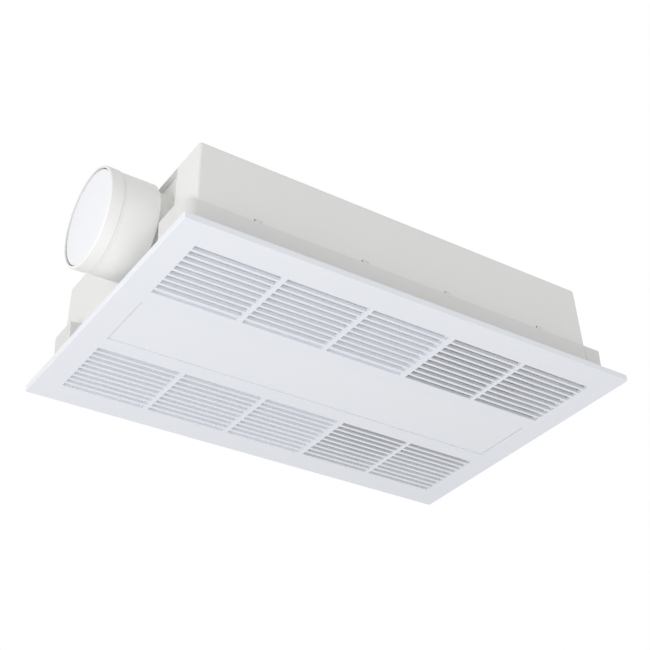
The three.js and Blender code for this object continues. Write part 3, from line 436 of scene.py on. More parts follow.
def greater(tree, first, second):
    """The greater of two values."""
    node = tree.nodes.new("ShaderNodeMath")
    node.operation = "MAXIMUM"
    tree.links.new(first, node.inputs[0])
    tree.links.new(second, node.inputs[1])
    return node.outputs["Value"]


def bumped(tree, shader, height, strength, depth):
    """Lets a height raise the surface by a small depth."""
    bump = added(tree, "ShaderNodeBump", Strength=strength, Distance=depth)
    tree.links.new(height, bump.inputs["Height"])
    tree.links.new(bump.outputs["Normal"], shader.inputs["Normal"])


def grain_group():
    """Moulded plastic: slow mottling of the colour, a fine grain and uneven gloss."""
    name = "Moulded Grain"
    if name in bpy.data.node_groups:
        return bpy.data.node_groups[name]
    group = bpy.data.node_groups.new(name, "ShaderNodeTree")
    for way, sockets in GRAIN_SOCKETS.items():
        for label, kind in sockets.items():
            group.interface.new_socket(label, in_out=way, socket_type=f"NodeSocket{kind}")
    for label in GRAIN_NUMBERS:
        group.interface.new_socket(label, in_out="INPUT", socket_type="NodeSocketFloat")
    inward = group.nodes.new("NodeGroupInput").outputs
    outward = group.nodes.new("NodeGroupOutput").inputs
    mottle = textured(group, "ShaderNodeTexNoise", inward["Place"], Detail=4, Roughness=0.6)
    grain = textured(group, "ShaderNodeTexNoise", inward["Place"], Detail=2)
    blend = group.nodes.new("ShaderNodeMix")
    blend.data_type = "RGBA"
    gloss = added(group, "ShaderNodeMapRange", From_Min=0.3, From_Max=0.7)
    link = group.links.new
    link(inward["Mottle Scale"], mottle.inputs["Scale"])
    link(inward["Grain Scale"], grain.inputs["Scale"])
    link(mottle.outputs["Fac"], blend.inputs["Factor"])
    link(inward["Light Colour"], blend.inputs["A"])
    link(inward["Dark Colour"], blend.inputs["B"])
    link(mottle.outputs["Fac"], gloss.inputs["Value"])
    link(inward["Smooth"], gloss.inputs["To Min"])
    link(inward["Rough"], gloss.inputs["To Max"])
    link(blend.outputs["Result"], outward["Colour"])
    link(gloss.outputs["Result"], outward["Roughness"])
    link(grain.outputs["Fac"], outward["Height"])
    return group


def fresh_material(name):
    material = bpy.data.materials.new(name)
    material.use_nodes = True
    tree = material.node_tree
    tree.nodes.clear()
    shader = tree.nodes.new("ShaderNodeBsdfPrincipled")
    output = tree.nodes.new("ShaderNodeOutputMaterial")
    place = tree.nodes.new("ShaderNodeTexCoord")
    tree.links.new(shader.outputs["BSDF"], output.inputs["Surface"])
    return material, tree, shader, place.outputs["Object"]


def shaded(rgb, share):
    return [value * share for value in rgb]


def moulded(name, rgb, smooth=0.36, rough=0.46, grain=900, depth=0.00001, mottle=7, shade=0.97, metallic=0.0):
    """Moulded plastic or smooth paint in one colour."""
    material, tree, shader, place = fresh_material(name)
    group = tree.nodes.new("ShaderNodeGroup")
    group.node_tree = grain_group()
    group.inputs["Light Colour"].default_value = (*rgb, 1)
    group.inputs["Dark Colour"].default_value = (*shaded(rgb, shade), 1)
    for label, value in zip(GRAIN_NUMBERS, (mottle, grain, smooth, rough)):
        group.inputs[label].default_value = value
    tree.links.new(place, group.inputs["Place"])
    tree.links.new(group.outputs["Colour"], shader.inputs["Base Color"])
    tree.links.new(group.outputs["Roughness"], shader.inputs["Roughness"])
    bumped(tree, shader, group.outputs["Height"], 0.35, depth)
    shader.inputs["Metallic"].default_value = metallic
    return material


def zinc_sheet(name="Zinc sheet"):
    """Galvanised sheet: flat crystals of slightly different brightness, under streaks of uneven gloss."""
    material, tree, shader, place = fresh_material(name)
    crystals = textured(tree, "ShaderNodeTexVoronoi", place, Scale=190)
    streaks = textured(tree, "ShaderNodeTexNoise", place, Scale=60, Detail=3)
    value = tree.nodes.new("ShaderNodeSeparateColor")
    tree.links.new(crystals.outputs["Color"], value.inputs["Color"])
    tinted(tree, shader, value.outputs["Red"], (0.66, 0.68, 0.7), (0.78, 0.79, 0.8))
    glossed(tree, shader, streaks.outputs["Fac"], 0.28, 0.5)
    shader.inputs["Metallic"].default_value = 0.6
    return material


def filter_net(rgb):
    """A fine woven net: rows of tiny openings in two directions."""
    material, tree, shader, place = fresh_material("Filter net")
    threads = []
    for direction in ("X", "Y"):
        wave = textured(tree, "ShaderNodeTexWave", place, Scale=160)
        wave.bands_direction = direction
        threads.append(wave.outputs["Fac"])
    weave = greater(tree, *threads)
    tinted(tree, shader, weave, shaded(rgb, 0.7), rgb)
    bumped(tree, shader, weave, 0.4, 0.0002)
    shader.inputs["Roughness"].default_value = 0.8
    return material


def board_laminate():
    """Green laminate with paler copper tracks under the mask."""
    material, tree, shader, place = fresh_material("Board laminate")
    tracks = textured(
        tree,
        "ShaderNodeTexBrick",
        place,
        Scale=70,
        Mortar_Size=0.06,
        Color1=(0.02, 0.13, 0.05, 1),
        Color2=(0.025, 0.15, 0.06, 1),
        Mortar=(0.05, 0.24, 0.1, 1),
    )
    tree.links.new(tracks.outputs["Color"], shader.inputs["Base Color"])
    bumped(tree, shader, tracks.outputs["Fac"], 0.3, 0.00005)
    shader.inputs["Roughness"].default_value = 0.35
    return material


def fin_aluminium():
    """Aluminium with fine lengthwise lines, made pale as painted light that lifts the shaded cells behind the
    outlet.
    """
    material, tree, shader, place = fresh_material("Fin aluminium")
    stretch = textured(tree, "ShaderNodeMapping", place, Scale=(1, 1, 30))
    lines = textured(tree, "ShaderNodeTexNoise", stretch.outputs["Vector"], Scale=90)
    # Painted light: both tones are paler than bare aluminium, so the core seen through the outlet slots looks
    # less shaded.
    tinted(tree, shader, lines.outputs["Fac"], (0.76, 0.77, 0.78), (0.88, 0.89, 0.9))
    glossed(tree, shader, lines.outputs["Fac"], 0.3, 0.5)
    shader.inputs["Metallic"].default_value = 0.3
    return material


# Shared shapes


def cell_places(settings):
    """Left end and length of each cell, from the duct's side."""
    groups = (
        (settings.wide_cells, settings.wide_cell, settings.wide_bar),
        (settings.narrow_cells, settings.narrow_cell, settings.narrow_bar),
    )
    reaches = [many * (cell + bar) - bar for many, cell, bar in groups]
    left = -(sum(reaches) + settings.group_bar) / 2
    places = []
    for (many, cell, bar), reach in zip(groups, reaches):
        places += [(left + i * (cell + bar), cell) for i in range(many)]
        left += reach + settings.group_bar
    return places


def duct_axis():
    """Place across and height of the duct's axis, from the flap that fills it."""
    return middle_of("backdraft_flap")[1:]


def duct_drum(name, radius, start, end, sides=96):
    """A round bar on the duct's axis between two places along X."""
    y, z = duct_axis()
    return drum(name, radius, (start, y, z), (end, y, z), sides)


def arch(name, radius, top, start, end):
    """A half round below the duct's axis with straight sides up to a height, between two places along X."""
    y, z = duct_axis()
    sides = block(name + "_sides", (start, y - radius, z), (end, y + radius, top))
    return fused(duct_drum(name, radius, start, end), sides)


def duct_screw_holes(piece, start, end):
    """Holes for the duct's screws between two places along X."""
    for name in DUCT_SCREWS:
        _, y, z = middle_of(name)
        carved(piece, drum("hole", SCREW_HOLE, (start, y, z), (end, y, z), 32))


def gland_axis():
    """Place along X and height of the cable gland's axis."""
    x, _, z = middle_of("cable_gland")
    return x, z


def blade_places():
    """Middle of each retaining blade, from the clip that grips it."""
    return [middle_of(f"spring_clip_{side}")[:2] for side in CLIP_SIDES]


# Operators


class HEATER_OT_stage(bpy.types.Operator):
    """Adds the camera, the floor, the even light and the lamps"""

    bl_idname = "heater.stage"
    bl_label = "Stage"

    def execute(self, context):
        settings = context.scene.heater_stage
        camera_data = bpy.data.cameras.new("View")
        camera_data.lens = settings.lens
        camera_data.sensor_width = 36
        camera = bpy.data.objects.new("View", camera_data)
        right = Vector((0.8315024, -0.5548187, -0.0279285))
        up = Vector((-0.2873521, -0.47259, 0.8331191))
        back = Vector((-0.4754288, -0.6847152, -0.5523881))
        turn = Matrix((right, up, back)).transposed().to_4x4()
        place = Vector((-0.8037931, -1.1550846, -0.8423419 + panel_low.z))
        camera.matrix_world = Matrix.Translation(place) @ turn
        context.collection.objects.link(camera)
        context.scene.camera = camera
        self.add_floor(settings)
        self.add_world(context, settings)
        self.add_lamp("Under lamp", settings.under, 2.4, (0.1, -0.8, -1.7), (0, 0, 0))
        self.add_lamp("Low lamp", settings.low, 1.2, (-1.7, -0.5, -1.0), (-0.25, 0, 0.04))
        self.add_lamp("Duct lamp", settings.key, 1.6, (-2.2, -0.5, 0.2), (-0.3, 0, 0.06))
        self.add_lamp("Side lamp", settings.side, 2.0, (0.6, -2.4, 0.6), (0, 0, 0.06))
        context.scene.view_settings.view_transform = "Standard"
        return {"FINISHED"}

    def add_floor(self, settings):
        bpy.ops.mesh.primitive_plane_add(size=settings.floor_size, location=(0, 0, -settings.floor_drop))
        floor = settled(bpy.context.object, "floor")
        material, tree, shader, place = fresh_material("Pale floor")
        noise = textured(tree, "ShaderNodeTexNoise", place, Scale=3)
        tinted(tree, shader, noise.outputs["Fac"], (0.88, 0.88, 0.88), (0.92, 0.92, 0.92))
        shader.inputs["Roughness"].default_value = 0.9
        floor.data.materials.append(material)

    def add_world(self, context, settings):
        world = bpy.data.worlds.new("Studio")
        context.scene.world = world
        world.use_nodes = True
        tree = world.node_tree
        tree.nodes.clear()
        white = (1, 1, 1, 1)
        seen = added(tree, "ShaderNodeBackground", Color=white, Strength=1)
        even = added(tree, "ShaderNodeBackground", Color=white, Strength=settings.world)
        rays = tree.nodes.new("ShaderNodeLightPath").outputs
        direct = greater(tree, rays["Is Camera Ray"], rays["Is Glossy Ray"])
        mix = tree.nodes.new("ShaderNodeMixShader")
        output = tree.nodes.new("ShaderNodeOutputWorld")
        link = tree.links.new
        link(greater(tree, direct, rays["Is Transmission Ray"]), mix.inputs["Fac"])
        link(even.outputs["Background"], mix.inputs[1])
        link(seen.outputs["Background"], mix.inputs[2])
        link(mix.outputs["Shader"], output.inputs["Surface"])

    def add_lamp(self, name, power, size, place, aim):
        data = bpy.data.lights.new(name, "AREA")
        data.energy = power
        data.size = size
        lamp = bpy.data.objects.new(name, data)
        lamp.location = place
        lamp.rotation_euler = (Vector(aim) - Vector(place)).to_track_quat("-Z", "Y").to_euler()
        bpy.context.collection.objects.link(lamp)


class HEATER_OT_panel(bpy.types.Operator):
    """Models the slotted front panel with its skirt, pocket and blades"""

    bl_idname = "heater.panel"
    bl_label = "Front panel"

    def execute(self, context):
        settings = context.scene.heater_panel
        face_high = panel_low.z + settings.face
        top = panel_low.z + settings.skirt_height
        tray = block("panel_tray", panel_low, (panel_high.x, panel_high.y, top))
        round_edges(tray, is_upright, settings.corner)
        round_edges(tray, self.is_rim, settings.rim_radius, 3)
        skirt = Vector((settings.skirt, settings.skirt, 0))
        inner_low = Vector((panel_low.x, panel_low.y, face_high)) + skirt
        inner_high = Vector((panel_high.x, panel_high.y, top + settings.skirt)) - skirt
        carved(tray, block("panel_hollow", inner_low, inner_high))
        self.add_pocket(tray, settings)
        carved(tray, self.slot_cutter(settings, panel_low.z - settings.face, face_high + settings.face))
        for x, y in blade_places():
            fused(tray, self.blade(settings, x, y))
        softened(tray, settings.slot_radius)
        material = moulded("Panel white", settings.panel_colour, 0.3, 0.4, mottle=5, shade=0.985)
        dressed(tray, "panel", material, "panel_plastic", "front_panel")
        return {"FINISHED"}

    def is_rim(self, edge):
        return all(vert.co.z < panel_low.z + TINY for vert in edge.verts)

    def add_pocket(self, tray, settings):
        gap = settings.pocket_gap
        lap = gap + settings.pocket_rim
        low = (strip_low.x - lap, strip_low.y - lap, panel_low.z + settings.face / 2)
        high = (strip_high.x + lap, strip_high.y + lap, strip_high.z + settings.pocket_floor)
        fused(tray, block("pocket_pad", low, high))
        low = (strip_low.x - gap, strip_low.y - gap, panel_low.z - settings.face)
        carved(tray, block("pocket", low, (strip_high.x + gap, strip_high.y + gap, strip_high.z)))

    def slot_cutter(self, settings, low, high):
        half = ((settings.slots_per_cell - 1) * settings.slot_pitch + settings.slot_width) / 2
        cutters = []
        for side in (-1, 1):
            start = side * settings.row_centre - half
            for x, wide in cell_places(settings):
                slot = block("slot", (x, start, low), (x + wide, start + settings.slot_width, high))
                cutters.append(repeated(slot, settings.slots_per_cell, (0, settings.slot_pitch, 0)))
        return joined(*cutters)

    def blade(self, settings, x, y):
        half_x = settings.blade_sheet / 2
        half_y = settings.blade_width / 2
        foot = panel_low.z + settings.face / 2
        blade = block("blade", (x - half_x, y - half_y, foot), (x + half_x, y + half_y, panel_high.z))
        round_share = 0.6
        round_edges(blade, self.is_blade_corner, half_y * round_share, 4)
        return blade

    def is_blade_corner(self, edge):
        first, last = edge.verts
        return is_above(edge, panel_high.z) and abs(first.co.y - last.co.y) < TINY


class HEATER_OT_strip(bpy.types.Operator):
    """Models the plain strip in the middle of the panel"""

    bl_idname = "heater.strip"
    bl_label = "Centre strip"

    def execute(self, context):
        settings = context.scene.heater_panel
        ends = Vector((settings.strip_end_gap, 0, 0))
        strip = block("strip", strip_low + ends, strip_high - ends)
        round_edges(strip, is_upright, settings.strip_corner, 3)
        softened(strip, settings.slot_radius, 3)
        material = moulded("Strip white", settings.strip_colour, 0.28, 0.36, mottle=4, shade=0.985)
        dressed(strip, "panel", material, "strip_plastic", "centre_strip")
        return {"FINISHED"}


class HEATER_OT_filters(bpy.types.Operator):
    """Models the two intake filters: a moulded frame with a fine net in it"""

    bl_idname = "heater.filters"
    bl_label = "Intake filters"

    def execute(self, context):
        settings = context.scene.heater_panel
        border = moulded("Filter frame", settings.filter_colour, 0.5, 0.65, shade=0.95)
        net_material = filter_net(settings.filter_colour)
        low, high = box_of("intake_filter_near")
        away = box_of("intake_filter_far")[0] - low
        holder = self.holder(settings, low, high)
        net = self.net(settings, low, high)
        pairs = {"near": (holder, net), "far": (copied(holder, away), copied(net, away))}
        for side, (holder, net) in pairs.items():
            holder.name = f"filter_frame_{side}"
            net.name = f"filter_net_{side}"
            dressed(holder, "panel", border, "filter_mesh", f"intake_filter_{side}")
            dressed(net, "panel", net_material, "filter_mesh")
        return {"FINISHED"}

    def holder(self, settings, low, high):
        """The moulded border with two bars across its window."""
        rim = Vector((settings.filter_frame, settings.filter_frame, 0))
        holder = block("filter_frame", low, high)
        spare = Vector((0, 0, settings.filter_frame))
        carved(holder, block("window", low + rim - spare, high - rim + spare))
        third = (high.x - low.x) / 3
        half = settings.filter_sheet * 2
        for i in (1, 2):
            x = low.x + i * third
            start, end = (x - half, low.y + rim.y / 2, low.z), (x + half, high.y - rim.y / 2, high.z)
            fused(holder, block("bar", start, end))
        return softened(holder, settings.slot_radius)

    def net(self, settings, low, high):
        """The thin net that fills the window and laps a little into the border."""
        inset = settings.filter_frame - settings.filter_sheet
        middle = (low.z + high.z) / 2
        half = settings.filter_sheet / 2
        net = block(
            "filter_net",
            (low.x + inset, low.y + inset, middle - half),
            (high.x - inset, high.y - inset, middle + half),
        )
        entered(net)
        bpy.ops.mesh.subdivide(number_cuts=6)
        leave_edit()
        return net


class HEATER_OT_base_frame(bpy.types.Operator):
    """Rounds the edges of the base frame with its deck, ears and hooks"""

    bl_idname = "heater.base_frame"
    bl_label = "Base frame"

    def execute(self, context):
        settings = context.scene.heater_shell
        base = merged_copy("base_frame", "frame_shell")
        softened(base, settings.edge)
        # Painted shade: this white is darkened to stand in for the shadow that the panel's overhang casts on
        # the frame.
        material = moulded("Frame white", settings.frame_colour, 0.4, 0.55, mottle=6, shade=0.98)
        dressed(base, "casing", material, "shell_plastic", "base_frame")
        return {"FINISHED"}


class HEATER_OT_housing(bpy.types.Operator):
    """Models the upper housing: drafted walls, round edges and the recess round the duct"""

    bl_idname = "heater.housing"
    bl_label = "Upper housing"

    def execute(self, context):
        settings = context.scene.heater_shell
        wall = settings.wall
        inner_top = housing_high.z - wall
        outer = self.drafted("housing_shell", settings, 0)
        inner = self.drafted("housing_inside", settings, wall)
        floor = settings.recess_floor
        back = floor - settings.recess_plate
        far = -housing_high.x - wall
        body_radius = settings.recess_radius + settings.recess_rim
        carved(inner, arch("recess_body", body_radius, housing_high.z + wall, far, -back))
        carved(outer, inner)
        carved(outer, arch("recess", settings.recess_radius, inner_top, far, -floor))
        carved(outer, duct_drum("bore", context.scene.heater_duct.bore, -floor - wall, -back + wall))
        duct_screw_holes(outer, -floor - wall, -back + wall)
        self.cut_windows(outer, settings)
        self.cut_holes(outer, wall)
        softened(outer, settings.edge)
        material = moulded("Housing white", settings.shell_colour, 0.4, 0.55, mottle=6, shade=0.98)
        dressed(outer, "casing", material, "shell_plastic", "upper_housing")
        return {"FINISHED"}

    def drafted(self, name, settings, inset):
        low = housing_low + Vector((inset, inset, -inset))
        high = housing_high - Vector((inset, inset, inset))
        shell = block(name, low, high)
        choose(shell, "faces", lambda face: face.normal.z > 0.9)
        share_x = 1 - settings.draft_x / high.x
        share_y = 1 - settings.draft_y / high.y
        bpy.ops.transform.resize(value=(share_x, share_y, 1), center_override=(0, 0, high.z))
        leave_edit()
        round_edges(shell, is_upright, settings.corner - inset, 7)
        radius = max(settings.top_edge - inset, settings.wall / 2)
        round_edges(shell, lambda edge: is_above(edge, high.z), radius, 6)
        return shell

    def cut_windows(self, outer, settings):
        half = settings.hook_window / 2
        bottom = housing_low.z - settings.wall
        top = housing_low.z + settings.hook_height
        edge = housing_high.y + settings.wall
        windows = []
        for x in (-settings.hook_place, -settings.hook_inner, settings.hook_inner, settings.hook_place):
            windows.append(block("window", (x - half, -edge, bottom), (x + half, edge, top)))
        carved(outer, joined(*windows))

    def cut_holes(self, outer, wall):
        for name in HOUSING_SCREWS:
            x, y, _ = middle_of(name)
            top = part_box(name)[1][2]
            bottom = top + SCREW_HOLE - HEAD_HOLE
            carved(
                outer,
                drum("hole", SCREW_HOLE, (x, y, top - 2 * wall), (x, y, bottom + TINY), 32),
                cone("sink", SCREW_HOLE, HEAD_HOLE, (x, y, bottom), (x, y, top), 32),
                drum("head_hole", HEAD_HOLE, (x, y, top - TINY), (x, y, top + wall), 32),
            )
        x, z = gland_axis()
        start, end = (x, housing_high.y - 3 * wall, z), (x, housing_high.y + wall, z)
        carved(outer, drum("hole", GLAND_HOLE, start, end, 48))


class HEATER_OT_duct(bpy.types.Operator):
    """Models the duct adapter: mounting plate, neck, tube and rim"""

    bl_idname = "heater.duct"
    bl_label = "Duct adapter"

    def execute(self, context):
        settings = context.scene.heater_duct
        y, z = duct_axis()
        end = -duct_low.x
        start = -duct_high.x
        tube_end = end - settings.rim_length
        neck_end = tube_end - settings.tube_length
        inner = settings.rim - settings.rim_wall
        tube_inner = settings.tube - settings.tube_wall
        chamfer, inner_step, back_wall = 0.0006, 0.0014, 0.002
        bead, bead_start, bead_end = 0.0004, tube_end - 0.0034, tube_end - 0.002
        profile = [
            (settings.bore, start),
            (settings.neck, start),
            (settings.neck, neck_end),
            (settings.tube - chamfer, neck_end),
            (settings.tube, neck_end + chamfer),
            (settings.tube, bead_start),
            (settings.tube + bead, bead_start + bead),
            (settings.tube + bead, bead_end - bead),
            (settings.tube, bead_end),
            (settings.tube, tube_end - chamfer),
            (settings.rim, tube_end),
            *self.rounded_end(settings, end),
            (inner, end),
            (inner, tube_end),
            (tube_inner, tube_end - inner_step),
            (tube_inner, neck_end + back_wall),
            (settings.bore, neck_end + back_wall),
        ]
        tube = turned("duct_tube", profile, (0, y, z), (-1, 0, 0), 128)
        plate = arch("duct_plate", settings.plate_radius, duct_high.z, -start - settings.plate, -start)
        outside, inside = -start - 2 * settings.plate, -start + settings.plate
        carved(plate, duct_drum("bore", (settings.bore + settings.neck) / 2, outside, inside, 128))
        duct_screw_holes(plate, outside, inside)
        fused(tube, plate)
        self.add_pin_holes(tube, settings)
        softened(tube, context.scene.heater_shell.edge)
        material = moulded("Duct white", settings.duct_colour, 0.38, 0.5, mottle=9, shade=0.975)
        dressed(tube, "casing", material, "duct_plastic", "duct_adapter")
        return {"FINISHED"}

    def rounded_end(self, settings, end):
        edge = settings.rim_edge
        steps = 4
        points = []
        for i in range(steps + 1):
            angle = math.radians(90 * i / steps)
            points.append((settings.rim - edge * (1 - math.cos(angle)), end - edge * (1 - math.sin(angle))))
        return points

    def add_pin_holes(self, tube, settings):
        low, high = box_of("flap_pin")
        x, _, z = middle_of("flap_pin")
        start, end = (x, low.y - PIN_ROOM, z), (x, high.y + PIN_ROOM, z)
        carved(tube, drum("pin_hole", settings.pin_radius + PIN_ROOM, start, end, 24))


class HEATER_OT_flap(bpy.types.Operator):
    """Models the back-draft flap that closes the duct's end"""

    bl_idname = "heater.flap"
    bl_label = "Back-draft flap"

    def execute(self, context):
        settings = context.scene.heater_duct
        y, z = duct_axis()
        low, high = box_of("backdraft_flap")
        radius = (high.z - low.z) / 2 + settings.flap_edge
        front = -low.x
        dome = settings.flap_dome
        rim = front - dome
        back = rim - settings.flap_sheet
        middle = TINY / 4
        edge, front_edge = 0.0003, 0.0004
        profile = [(radius - edge, back), (radius, back + edge), (radius, rim - front_edge)]
        for share in (0.995, 0.97, 0.85, 0.65, 0.45, 0.25, 0.05):
            profile.append((radius * share, rim + dome * (1 - share**2)))
        profile += [(middle, front), (middle, back)]
        disc = turned("flap_disc", profile, (0, y, z), (-1, 0, 0), 128)
        pin_x, _, pin_z = middle_of("flap_pin")
        hole = settings.pin_radius + PIN_ROOM
        knuckle_wall, knuckle_outer, knuckle_inner = 0.0011, 0.028, 0.016
        ends = (pin_x, y - knuckle_outer, pin_z), (pin_x, y - knuckle_inner, pin_z)
        knuckle = drum("knuckle", hole + knuckle_wall, *ends, 32)
        fused(disc, knuckle, copied(knuckle, (0, knuckle_outer + knuckle_inner, 0)))
        carved(disc, drum("pin_hole", hole, (pin_x, y - radius, pin_z), (pin_x, y + radius, pin_z), 24))
        softened(disc, edge)
        material = moulded("Flap white", settings.flap_colour, 0.32, 0.42, mottle=8, shade=0.985)
        dressed(disc, "flap", material, "flap_plastic", "backdraft_flap")
        return {"FINISHED"}


class HEATER_OT_core(bpy.types.Operator):
    """Models the heater core: rows of thin fins between flat tubes"""

    bl_idname = "heater.core"
    bl_label = "Heater core"

    def execute(self, context):
        low, high = box_of("heater_core")
        rows, border, bar, edge = 4, 0.006, 0.003, 0.0004
        step = (high.y - low.y - 2 * border + bar) / rows
        starts = [low.y + border + i * step for i in range(rows)]
        holder = block("core_frame", low, high)
        windows = []
        for start in starts:
            near = (low.x + border, start, low.z - bar)
            windows.append(block("window", near, (high.x - border, start + step - bar, high.z + bar)))
        carved(holder, joined(*windows))
        softened(holder, edge)
        material = fin_aluminium()
        dressed(holder, "casing", material, "core_aluminium", "heater_core")
        pitch, sheet, lap, inset = 0.0022, 0.00018, 0.0005, 0.001
        many = int((high.x - low.x - 2 * border) / pitch)
        left = low.x + border + pitch / 2
        fins = []
        for start in starts:
            near = (left, start - lap, low.z + inset)
            fin = block("fin", near, (left + sheet, start + step - bar + lap, high.z - inset))
            fins.append(repeated(fin, many, (pitch, 0, 0)))
        bank = joined(*fins)
        bank.name = "core_fins"
        dressed(bank, "casing", material, "core_aluminium")
        return {"FINISHED"}


class HEATER_OT_screws(bpy.types.Operator):
    """Models one cross-head screw of each kind and copies it to the places of the others"""

    bl_idname = "heater.screws"
    bl_label = "Screws"

    axis_radius = 0.0002
    tip_radius = 0.0013
    tip_length = 0.0006
    shank_radius = 0.0017

    def execute(self, context):
        material = zinc_sheet("Screw zinc")
        up = Vector((0, 0, 1))
        self.add_kind(HOUSING_SCREWS, self.flat_head, up, material)
        self.add_kind(MOTOR_SCREWS, self.dome_head, up, material)
        self.add_kind(DUCT_SCREWS, self.dome_head, Vector((-1, 0, 0)), material)
        return {"FINISHED"}

    def add_kind(self, names, head, outward, material):
        """Models the first screw of a kind, its head's top facing outward, and copies it for the rest."""
        tops = []
        for name in names:
            low, high = box_of(name)
            reach = abs((high - low).dot(outward))
            tops.append((low + high) / 2 + outward * reach / 2)
        first = self.screw(names[0], head(reach), tops[0], outward)
        screws = [first] + [copied(first, top - tops[0]) for top in tops[1:]]
        for name, screw in zip(names, screws):
            screw.name = name + "_dressed"
            dressed(screw, "casing", material, "zinc_steel", name)

    def dome_head(self, reach):
        """The profile of a screw with a domed head, from its tip to the middle of its top."""
        radius, height = 0.0034, 0.0022
        dome = [(0.0031, -0.0008), (0.0023, -0.0003), (0.0012, 0), (self.axis_radius, 0)]
        side = [(self.shank_radius, -height), (radius, -height), (radius, -0.0015)]
        return self.shank(reach) + side + dome

    def flat_head(self, reach):
        """The profile of a countersunk screw, from its tip to the middle of its top."""
        radius, edge = 0.0033, 0.0001
        cone_foot = edge + radius - self.shank_radius
        side = [(self.shank_radius, -cone_foot), (radius, -edge), (radius - edge, 0)]
        return self.shank(reach) + side + [(self.axis_radius, 0)]

    def shank(self, reach):
        tip = [(self.axis_radius, -reach), (self.tip_radius, -reach)]
        return tip + [(self.shank_radius, self.tip_length - reach)]

    def screw(self, name, profile, top, outward):
        """A screw turned from its profile, with a cross recess, its top at a place."""
        tip = profile[0][1]
        long, short, depth, spare = 0.0019, 0.0004, 0.0012, 0.0008
        screw = turned(name, profile, (0, 0, 0), (0, 0, 1), 28)
        fused(screw, drum("middle", 2 * self.axis_radius, (0, 0, tip), (0, 0, -0.0001), 12))
        for x, y in ((long, short), (short, long)):
            carved(screw, block("cross", (-x, -y, -depth), (x, y, spare)))
        screw.rotation_euler = outward.to_track_quat("Z", "Y").to_euler()
        screw.location = top
        settled(screw, name)
        only(screw)
        bpy.ops.object.shade_smooth_by_angle(angle=SCREW_ANGLE)
        return screw


class HEATER_OT_gland(bpy.types.Operator):
    """Models the cable gland: hexagonal foot, ribbed cap and soft seal"""

    bl_idname = "heater.gland"
    bl_label = "Cable gland"

    bore = 0.0052
    thread_radius = 0.0098
    foot_radius = 0.0139
    foot_height = 0.0045
    cap_bore = 0.0068
    cap_radius = 0.0128
    grip_height = 0.0115
    shoulder = (0.0116, 0.0142)
    ribs = 12
    rib_radius = 0.001
    rib_place = 0.0125
    rib_end = 0.0003
    seal_radius = 0.0067
    seal_bores = (0.005, 0.0053)
    seal_start = 0.006
    seal_depth = 0.0004

    def execute(self, context):
        body = self.body()
        fused(body, self.cap())
        softened(body, 0.0003)
        black = moulded("Gland black", (0.02, 0.021, 0.023), 0.35, 0.5, shade=0.8)
        dressed(body, "casing", black, "dark_plastic", "cable_gland")
        start, end = housing_high.y + self.seal_start, gland_high.y - self.seal_depth
        low_bore, high_bore = self.seal_bores
        profile = [(low_bore, start), (self.seal_radius, start), (self.seal_radius, end), (high_bore, end)]
        seal = self.turned_here("gland_seal", profile, 48)
        softened(seal, 0.0002)
        rubber = moulded("Seal rubber", (0.03, 0.03, 0.031), 0.6, 0.8, shade=0.8)
        dressed(seal, "casing", rubber, "lead_sheath")
        return {"FINISHED"}

    def turned_here(self, name, profile, sides=64):
        x, z = gland_axis()
        return turned(name, profile, (x, 0, z), (0, 1, 0), sides)

    def body(self):
        """The stem through the housing's wall, with its hexagonal foot."""
        x, z = gland_axis()
        wall, bore, thread, lap = housing_high.y, self.bore, self.thread_radius, 0.001
        low, high = gland_low.y, wall + lap
        body = self.turned_here("gland_body", [(bore, low), (thread, low), (thread, high), (bore, high)])
        foot = drum("foot", self.foot_radius, (x, wall, z), (x, wall + self.foot_height, z), 6)
        reach = 0.01
        carved(foot, drum("hole", bore, (x, wall - reach, z), (x, wall + reach, z), 48))
        return fused(body, foot)

    def cap(self):
        """The cap with a ring of ribs to grip it by."""
        x, z = gland_axis()
        wall, bore, radius = housing_high.y, self.cap_bore, self.cap_radius
        foot, grip = wall + self.foot_height, wall + self.grip_height
        shoulder = (self.shoulder[0], wall + self.shoulder[1])
        tip = [(self.thread_radius, gland_high.y), (bore, gland_high.y)]
        cap = self.turned_here("gland_cap", [(bore, foot), (radius, foot), (radius, grip), shoulder, *tip])
        ribs = []
        for i in range(self.ribs):
            angle = 2 * math.pi * i / self.ribs
            rib_x = x + self.rib_place * math.cos(angle)
            rib_z = z + self.rib_place * math.sin(angle)
            start, end = (rib_x, foot + 0.0001, rib_z), (rib_x, grip - self.rib_end, rib_z)
            ribs.append(drum("rib", self.rib_radius, start, end, 12))
        return fused(cap, joined(*ribs))


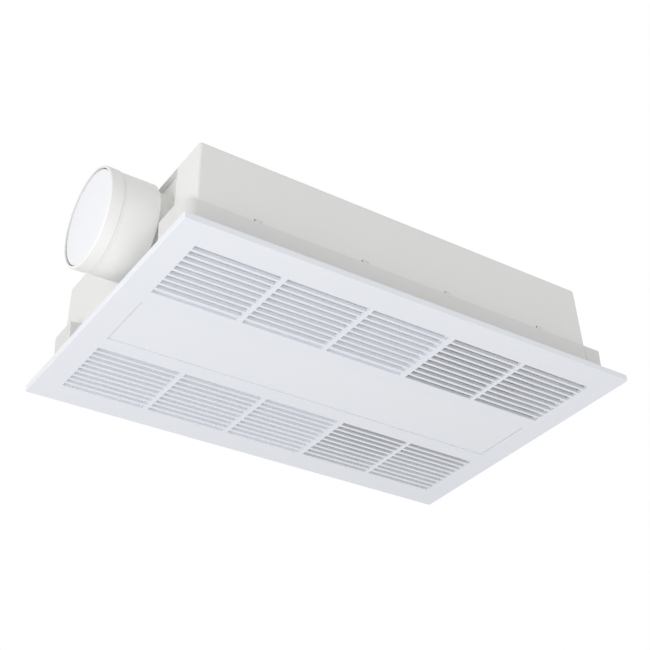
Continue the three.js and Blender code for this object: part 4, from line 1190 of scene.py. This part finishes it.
class HEATER_OT_inside(bpy.types.Operator):
    """Gives the kept pieces inside the casing their finishes"""

    bl_idname = "heater.inside"
    bl_label = "Inner pieces"

    def execute(self, context):
        zinc = zinc_sheet()
        wheel = moulded("Wheel black", (0.03, 0.032, 0.036), 0.35, 0.5, shade=0.75)
        motor = moulded("Motor paint", (0.022, 0.024, 0.027), 0.3, 0.45, grain=400, depth=0.00003, shade=0.75)
        dark = moulded("Dark plastic", (0.022, 0.024, 0.027), 0.4, 0.55, shade=0.75)
        pale = moulded("Inner white", (0.84, 0.847, 0.835), 0.4, 0.55, shade=0.96)
        sheath = moulded("Lead sheath", (0.27, 0.285, 0.305), 0.5, 0.7, grain=1500, shade=0.85)
        shaft = moulded("Ground steel", (0.6, 0.61, 0.62), 0.2, 0.32, grain=2500, shade=0.9, metallic=1.0)
        finishes = {
            zinc: ["outlet_duct", "heater_frame"] + [f"spring_clip_{side}" for side in CLIP_SIDES],
            wheel: ["exhaust_wheel", "circulation_wheel"],
            motor: ["exhaust_motor", "circulation_motor"],
            dark: ["thermostat", "relay_exhaust", "relay_heater", "gland_nut"],
            pale: ["outlet_guide", "thermal_fuse", "control_box", "control_cover"]
            + ["run_capacitor", "terminal_block"],
            sheath: ["exhaust_lead", "circulation_lead", "heater_lead"],
            shaft: ["exhaust_shaft", "circulation_shaft", "flap_pin"],
            board_laminate(): ["control_board"],
        }
        for kind in ("exhaust", "circulation"):
            finishes[zinc] += [f"{kind}_scroll", f"{kind}_inlet_ring", f"{kind}_hub_nut"]
        for material, names in finishes.items():
            for name in names:
                piece = nodes[name]
                piece.data.materials.clear()
                piece.data.materials.append(material)
        return {"FINISHED"}


OPERATORS = (
    HEATER_OT_stage,
    HEATER_OT_panel,
    HEATER_OT_strip,
    HEATER_OT_filters,
    HEATER_OT_base_frame,
    HEATER_OT_housing,
    HEATER_OT_duct,
    HEATER_OT_flap,
    HEATER_OT_core,
    HEATER_OT_screws,
    HEATER_OT_gland,
    HEATER_OT_inside,
)
SETTINGS = {
    "heater_panel": HeaterPanelSettings,
    "heater_shell": HeaterShellSettings,
    "heater_duct": HeaterDuctSettings,
    "heater_stage": HeaterStageSettings,
}


class HEATER_PT_pieces(bpy.types.Panel):
    """Lists the heater's sizes, colours and pieces in the sidebar"""

    bl_label = "Ceiling Heater"
    bl_idname = "HEATER_PT_pieces"
    bl_space_type = "VIEW_3D"
    bl_region_type = "UI"
    bl_category = "Heater"

    def draw(self, context):
        for kind in OPERATORS:
            self.layout.operator(kind.bl_idname)
        for group in SETTINGS:
            settings = getattr(context.scene, group)
            column = self.layout.column(align=True)
            for name in settings.__annotations__:
                column.prop(settings, name)


CLASSES = (*SETTINGS.values(), *OPERATORS, HEATER_PT_pieces)


def register():
    for item in CLASSES:
        bpy.utils.register_class(item)
    for name, kind in SETTINGS.items():
        setattr(bpy.types.Scene, name, bpy.props.PointerProperty(type=kind))


def unregister():
    for name in SETTINGS:
        delattr(bpy.types.Scene, name)
    for item in reversed(CLASSES):
        bpy.utils.unregister_class(item)


def main():
    register()
    for kind in OPERATORS:
        step = kind.bl_idname.removeprefix("heater.")
        getattr(bpy.ops.heater, step)()


if __name__ == "__main__":
    main()
